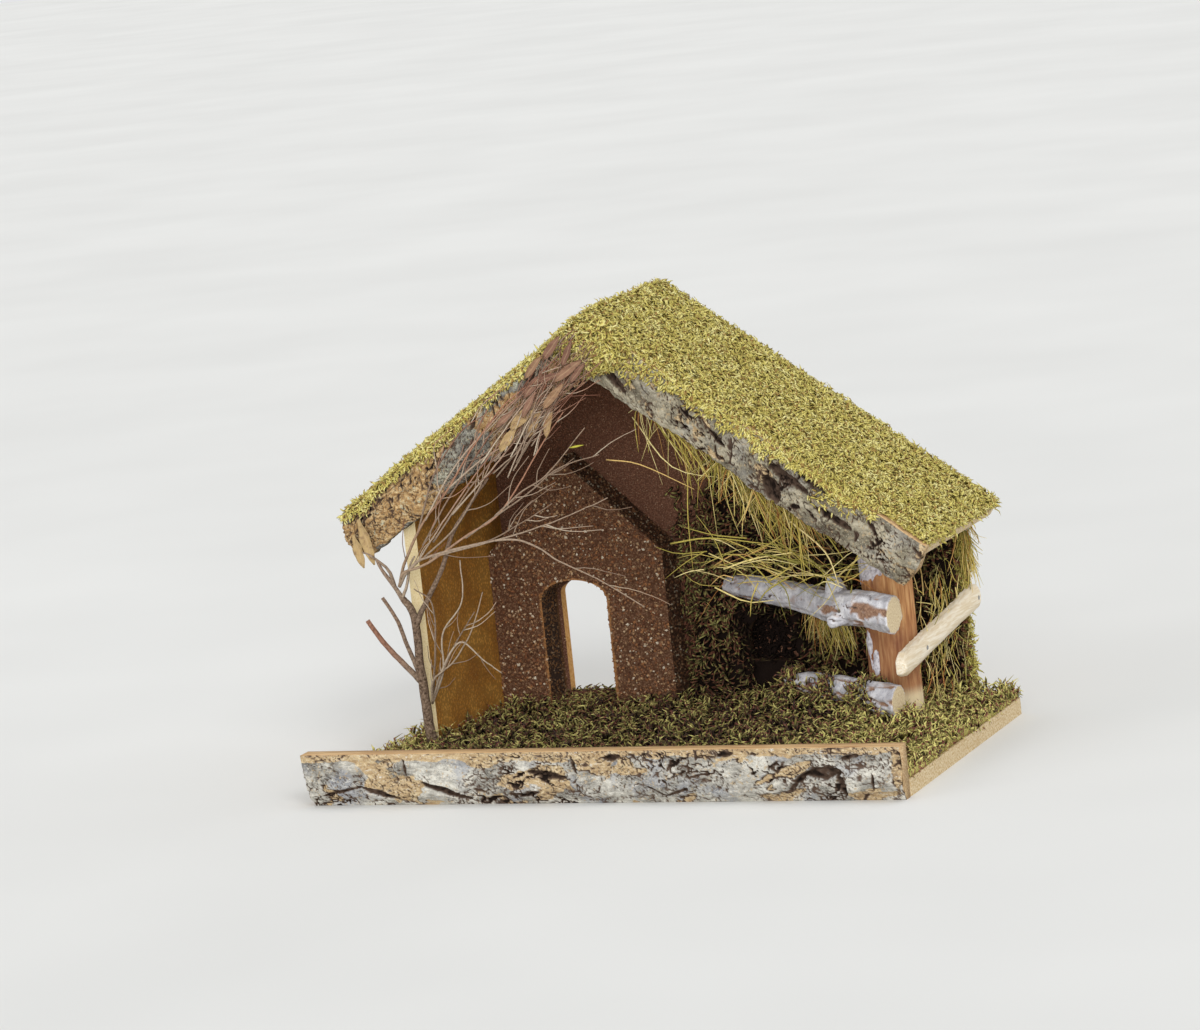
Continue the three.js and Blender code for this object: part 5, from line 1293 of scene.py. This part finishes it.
rng = np.random.default_rng(61)
leaves = Soup("tone", "vein")
stalks = Soup("tone", "thin", "red")
for k in range(27):
    u0, w0 = rng.uniform(58, 112), rng.uniform(-52, -18)
    u1, w1 = rng.uniform(4, 44), w0 * 0.45 + rng.uniform(-14, 5)
    y = rng.uniform(65.0, 69.5)
    low_end = on_slope(u0, w0, y)
    middle = (low_end + on_slope(u1, w1, y)) / 2 + np.array([0, 0, rng.uniform(-4, 5)])
    line = grow(stalks, rng, [low_end, middle, on_slope(u1, w1, y + 1.5)], start=0.55, end=0.3, thin=1.0,
                sides=5, red=rng.uniform(0.0, 1.0))
    side_twigs(stalks, rng, line, count=3, length=(12, 34), radius=0.32, up_share=0.5,
               red=rng.uniform(0.4, 1.0))
for k in range(46):
    root = on_slope(rng.uniform(3, 30), rng.uniform(-24, 2), rng.uniform(68.0, 72.0))
    heading = rng.uniform(-2.6, -0.3) if k % 2 else rng.uniform(0.2, 1.4)
    reach = way_in(heading, 0.0) * rng.uniform(7, 20)
    middle = root + 0.5 * reach + [0, 0, rng.uniform(-2, 2)]
    grow(stalks, rng, [root, middle, root + reach], start=0.36, end=0.2, thin=1.0, sides=4, red=1.0)
for u, w, length, heading, tone in (
        (30, -5, 22, 0.3, 0.3), (48, -7, 21, 0.2, 0.5), (34, -20, 27, -0.05, 0.45), (58, -16, 22, 0.2, 0.25),
        (50, -30, 24, 0.15, 0.55), (78, -27, 26, 0.12, 0.85), (72, -38, 24, 0.5, 0.75),
        (94, -34, 22, 0.3, 0.9), (62, -46, 24, 0.75, 0.8), (22, -16, 18, 0.5, 0.15), (42, -14, 16, -0.3, 0.1),
        (86, -20, 18, 0.1, 0.4), (66, -26, 20, 0.4, 0.35), (24, -28, 18, 0.2, 0.2)):
    root = on_slope(u, w, rng.uniform(63.5, 67.5))
    tip = root + length * way_in(LEFT.pitch + heading, rng.uniform(-0.15, 0.1))
    reach = under_roof(tip[None], 0.5)[0] - root
    width, cup, twist = length * rng.uniform(0.2, 0.3), rng.uniform(0.4, 1.8), rng.uniform(-1.2, 1.2)
    leaf(leaves, rng, root, reach, width, cup, twist, tone)
show(leaves, "dry_leaves", [LEAF], "leafy_sprig")
stems = stalks.build("leaf_stalks", [TWIG])
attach(stems, "root")

rng = np.random.default_rng(62)
for name, node, u, w, length, width in (("eave_leaf_large", "eave_leaf_long", 213, -8, 32, 8.0),
                                        ("eave_leaf_small", "eave_leaf_short", 223, -14, 23, 7.0)):
    soup = Soup("tone", "vein")
    reach = np.array([0.3 * length, -2.0, -0.96 * length])
    leaf(soup, rng, on_slope(u, w, 75.0), reach, width, cup=1.2, twist=0.9, tone=0.95)
    show(soup, name, [LEAF], node)


# Hay

def hay_look():
    look = Look("hay", roughness=0.8, specular=0.25)
    grain = look.cloud(1.4, detail=2, at=look.stretched(1, 1, 0.3))
    base = look.ramp(look.number("tone"), (0.0, "8c8640"), (0.22, "b4a650"), (0.5, "dcc468"),
                     (0.78, "f4e4a4"), (0.9, "e2bc74"), (1.0, "b87c44"))
    return look.finish(look.darkened(base, "5c5222", 0.25, grain, 0.35, 0.6), grain, 0.2)


HAY = hay_look()


def stalk(soup, rng, points, half, steps=5):
    """One hay stalk through three points, bent a little by chance and kept under the roof boards."""
    root, middle, tip = (np.asarray(point, dtype=float) for point in points)
    middle = middle + 0.07 * np.linalg.norm(tip - root) * rng.normal(size=3) * [1, 0.3, 1]
    line = under_roof(smooth_line([root, middle, tip], steps), ROOF_THICKNESS + 0.5)
    line = np.clip(line, BOX_LOW + 0.8, BOX_HIGH - 0.8)
    taper = half * (1 - 0.6 * np.linspace(0, 1, len(line)) ** 2)
    body, faces = tube(line, taper, 4, flat=rng.uniform(0.35, 1.0), turn=rng.uniform(0, 3))
    soup.add(body, faces, tone=np.clip(rng.normal(0.5, 0.32), 0, 1))


def straight(root, reach, sag=0.0):
    return root, root + 0.5 * reach, root + reach - sag * UP


# Hay behind the right bark slab: long stalks that hang forward, cross stalks, and level ones above the rail
rng = np.random.default_rng(71)
soup = Soup("tone")
for k in range(640):
    loose = k % 3 == 0
    u = rng.uniform(52, 182)
    w = -ROOF_THICKNESS - 1.5 - rng.random() ** 1.5 * 22
    root = roof_at(RIGHT, u, rng.uniform(91.5, 112), w)
    heading = rng.normal(-0.72, 1.0 if loose else 0.34) - 0.35 * (u / 178) * rng.random()
    length = rng.uniform(18, 62) * (1.2 - 0.5 * abs(u - 122) / 75) * (0.6 if loose else 1.0)
    reach = length * way_in(heading, rng.uniform(-0.12, 0.2))
    droop = -rng.uniform(2, 14) * UP
    stalk(soup, rng, [root, root + 0.5 * reach + 0.15 * droop, root + reach + droop], rng.uniform(0.32, 0.82))
for k in range(260):
    root = roof_at(RIGHT, rng.uniform(112, 186), rng.uniform(91, 108), -10 - 24 * rng.random())
    heading, length = rng.uniform(-2.9, 0.1), rng.uniform(12, 38)
    reach = length * way_in(heading, rng.uniform(-0.15, 0.15))
    stalk(soup, rng, straight(root, reach, sag=3), rng.uniform(0.3, 0.7))
for k in range(90):
    root = np.array([rng.uniform(232, 335), rng.uniform(93, 112), rng.uniform(116, 150)])
    root[2] = min(root[2], 178 - 0.62 * (root[0] - 232))
    heading = rng.normal(0, 0.5) + (math.pi if rng.random() < 0.5 else 0)
    length = rng.uniform(18, 46)
    reach = length * way_in(heading, rng.uniform(-0.15, 0.1))
    middle = root + 0.5 * reach + np.array([0, 0, rng.uniform(0, 3)])
    stalk(soup, rng, [root, middle, root + reach], rng.uniform(0.35, 0.75))
for points in (
        ((196, 100, 233), (222, 97, 211), (262, 95, 190)), ((176, 96, 206), (200, 94, 197), (236, 96, 184)),
        ((214, 99, 148), (248, 97, 149), (284, 96, 146)), ((232, 98, 196), (230, 97, 170), (228, 99, 128)),
        ((250, 98, 130), (276, 96, 134), (300, 95, 140)), ((300, 98, 160), (316, 96, 136), (330, 95, 118))):
    stalk(soup, rng, points, 0.75, 8)
show(soup, "hay_under_the_roof", [HAY], "hay_under_roof")

rng = np.random.default_rng(72)
soup = Soup("tone")
for k in range(170):
    root = rail_point(7.5, UPPER_RAIL[1], 0) + rng.uniform(-78, -38) * RAIL_ALONG
    root = root + rng.uniform(8.5, 14) * RAIL_SQUARE + rng.uniform(-7, 5) * UP
    heading, length = rng.normal(-1.57, 0.45), rng.uniform(14, 44)
    way = math.cos(heading) * RAIL_ALONG + math.sin(heading) * UP
    way[1] += rng.uniform(-0.1, 0.2)
    stalk(soup, rng, straight(root, length * way), rng.uniform(0.3, 0.6), 4)
show(soup, "hay_in_the_stall", [HAY], "hay_behind_rail")

rng = np.random.default_rng(73)
soup = Soup("tone")
for k in range(170):
    root = np.array([rng.uniform(371.5, 375.5), rng.uniform(223, 232), rng.uniform(104, 138)])
    heading, length = rng.normal(-1.5, 0.5), rng.uniform(8, 26)
    way = way_in(heading, -0.35 * rng.random()) * [0.6, 1, 1]
    stalk(soup, rng, straight(root, length * way), rng.uniform(0.3, 0.55), 4)
for k in range(150):
    y = rng.uniform(146, 232)
    root = np.array([rng.uniform(362, 370), y, rng.uniform(30, 104)])
    heading = rng.normal(1.57, 0.7) if rng.random() < 0.5 else rng.normal(-1.57, 0.7)
    length = rng.uniform(10, 30)
    way = np.array([0.15 * rng.normal(), math.cos(heading), math.sin(heading)])
    stalk(soup, rng, straight(root, length * way), rng.uniform(0.25, 0.5), 4)
show(soup, "hay_at_the_rear_edge", [HAY], "hay_side")


# Boards and brads keep their CAD shape

def dress(node, material):
    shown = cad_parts[node]
    shown.data.materials.clear()
    shown.data.materials.append(material)


def left_wall_look():
    look = Look("ochre_wall", roughness=0.85, specular=0.2)
    fine = look.cloud(0.9, detail=4, rough=0.7)
    base = look.ramp(look.cloud(28, detail=4), (0.35, "a66c2c"), (0.5, "c28638"), (0.65, "d69e4a"))
    base = look.lay(base, "845c28", look.specks(2.4), 0.3, 0.5, 0.6)
    base = look.lay(base, "dcb878", fine, 0.55, 0.7, 0.5)
    base = look.mix(look.turned_to_front(0.6, 0.8), base, look.ramp(fine, (0.3, "d6bd86"), (0.7, "efe0b8")))
    lines = look.cloud(2.4, detail=4, at=look.stretched(1, 1, 0.06))
    outer = look.times(look.facing(0), -1.0)
    base = look.lay(base, look.ramp(lines, (0.3, "b08c5c"), (0.7, "d2b486")), outer, 0.6, 0.8)
    return look.finish(base, fine, 0.35)


def rear_wall_look():
    look = Look("rear_wall", roughness=0.9, specular=0.2)
    grain = look.specks(1.3)
    base = look.ramp(grain, (0.1, "845c48"), (0.6, "604030"))
    base = look.lay(base, "a88870", look.cloud(0.9, detail=3), 0.6, 0.72)
    rear = look.between(look.facing(1), 0.6, 0.8)
    sides = look.between(look.absolute(look.facing(0)), 0.6, 0.8)
    lines = look.cloud(1.8, detail=4, at=look.stretched(0.04, 1, 1))
    base = look.mix(look.larger(rear, sides), base, look.ramp(lines, (0.3, "b8966a"), (0.7, "d2b488")))
    # painted orange glow on the sides of the door hole, over the raw board's edge colour
    far = look.absolute(look.minus(look.bench_place(0), DOOR_X))
    painted_reveal_glow = look.times(sides, look.between(far, DOOR_HALF + 6.0, DOOR_HALF + 4.0))
    base = look.mix(painted_reveal_glow, base, look.ramp(lines, (0.3, "c4853f"), (0.7, "e6b878")))
    return look.finish(base, grain, 0.3)


for node in ("base_board", "roof_left_board", "roof_right_board"):
    dress(node, BOARD)
dress("left_wall", left_wall_look())
dress("back_wall", rear_wall_look())
dress("facade_panel", CORK_COAT)
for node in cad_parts:
    if "brad" in node:
        dress(node, STEEL)


# Floor and light

def floor_look():
    look = Look("floor", roughness=0.9, specular=0.1)
    base = look.ramp(look.cloud(400, detail=2), (0.3, "dededb"), (0.7, "e4e4e1"))
    return look.finish(base)


FLOOR_HALF = 40.0       # metres, far past what any view shows
LIGHT_AIM = Vector((0, 0, 0.12))


def make_floor():
    corners = [(x * FLOOR_HALF, y * FLOOR_HALF, 0) for x, y in ((-1, -1), (1, -1), (1, 1), (-1, 1))]
    mesh = bpy.data.meshes.new("floor")
    mesh.from_pydata(corners, [], [(0, 1, 2, 3)])
    mesh.materials.append(floor_look())
    floor = bpy.data.objects.new("floor", mesh)
    bpy.context.scene.collection.objects.link(floor)


make_floor()


def soft_light(name, place, spread, strength):
    """A far soft light that shines from a place towards the stable, so it lights the floor evenly."""
    light = bpy.data.lights.new(name, "SUN")
    light.angle = math.radians(spread)
    light.energy = strength
    thing = bpy.data.objects.new(name, light)
    thing.location = place
    thing.rotation_mode = "QUATERNION"
    thing.rotation_quaternion = (LIGHT_AIM - Vector(place)).to_track_quat("-Z", "Y")
    bpy.context.scene.collection.objects.link(thing)


soft_light("key", (1.3, -1.5, 1.6), 23, 0.95)
soft_light("front", (0.6, -2.3, 0.45), 33, 1.3)
soft_light("side", (-1.6, -1.6, 0.9), 33, 0.5)
soft_light("top", (0.1, 0.3, 2.2), 43, 0.8)

world = bpy.data.worlds.new("world")
bpy.context.scene.world = world
world.use_nodes = True
tree = world.node_tree
sky = tree.nodes["Background"]
sky.inputs["Color"].default_value = (0.92, 0.93, 0.95, 1)

# The sky is brighter where it is seen, straight or by way of gloss or glass, than where it only gives light
sky_strength = tree.nodes.new("ShaderNodeMapRange")
sky_strength.inputs["To Min"].default_value = 0.55
sky_strength.inputs["To Max"].default_value = 0.85
rays = tree.nodes.new("ShaderNodeLightPath")
seen = rays.outputs["Is Camera Ray"]
for kind in ("Is Glossy Ray", "Is Transmission Ray"):
    either = tree.nodes.new("ShaderNodeMath")
    either.operation = "MAXIMUM"
    tree.links.new(seen, either.inputs[0])
    tree.links.new(rays.outputs[kind], either.inputs[1])
    seen = either.outputs[0]
tree.links.new(seen, sky_strength.inputs["Value"])
tree.links.new(sky_strength.outputs["Result"], sky.inputs["Strength"])
bpy.context.scene.view_settings.view_transform = "Standard"
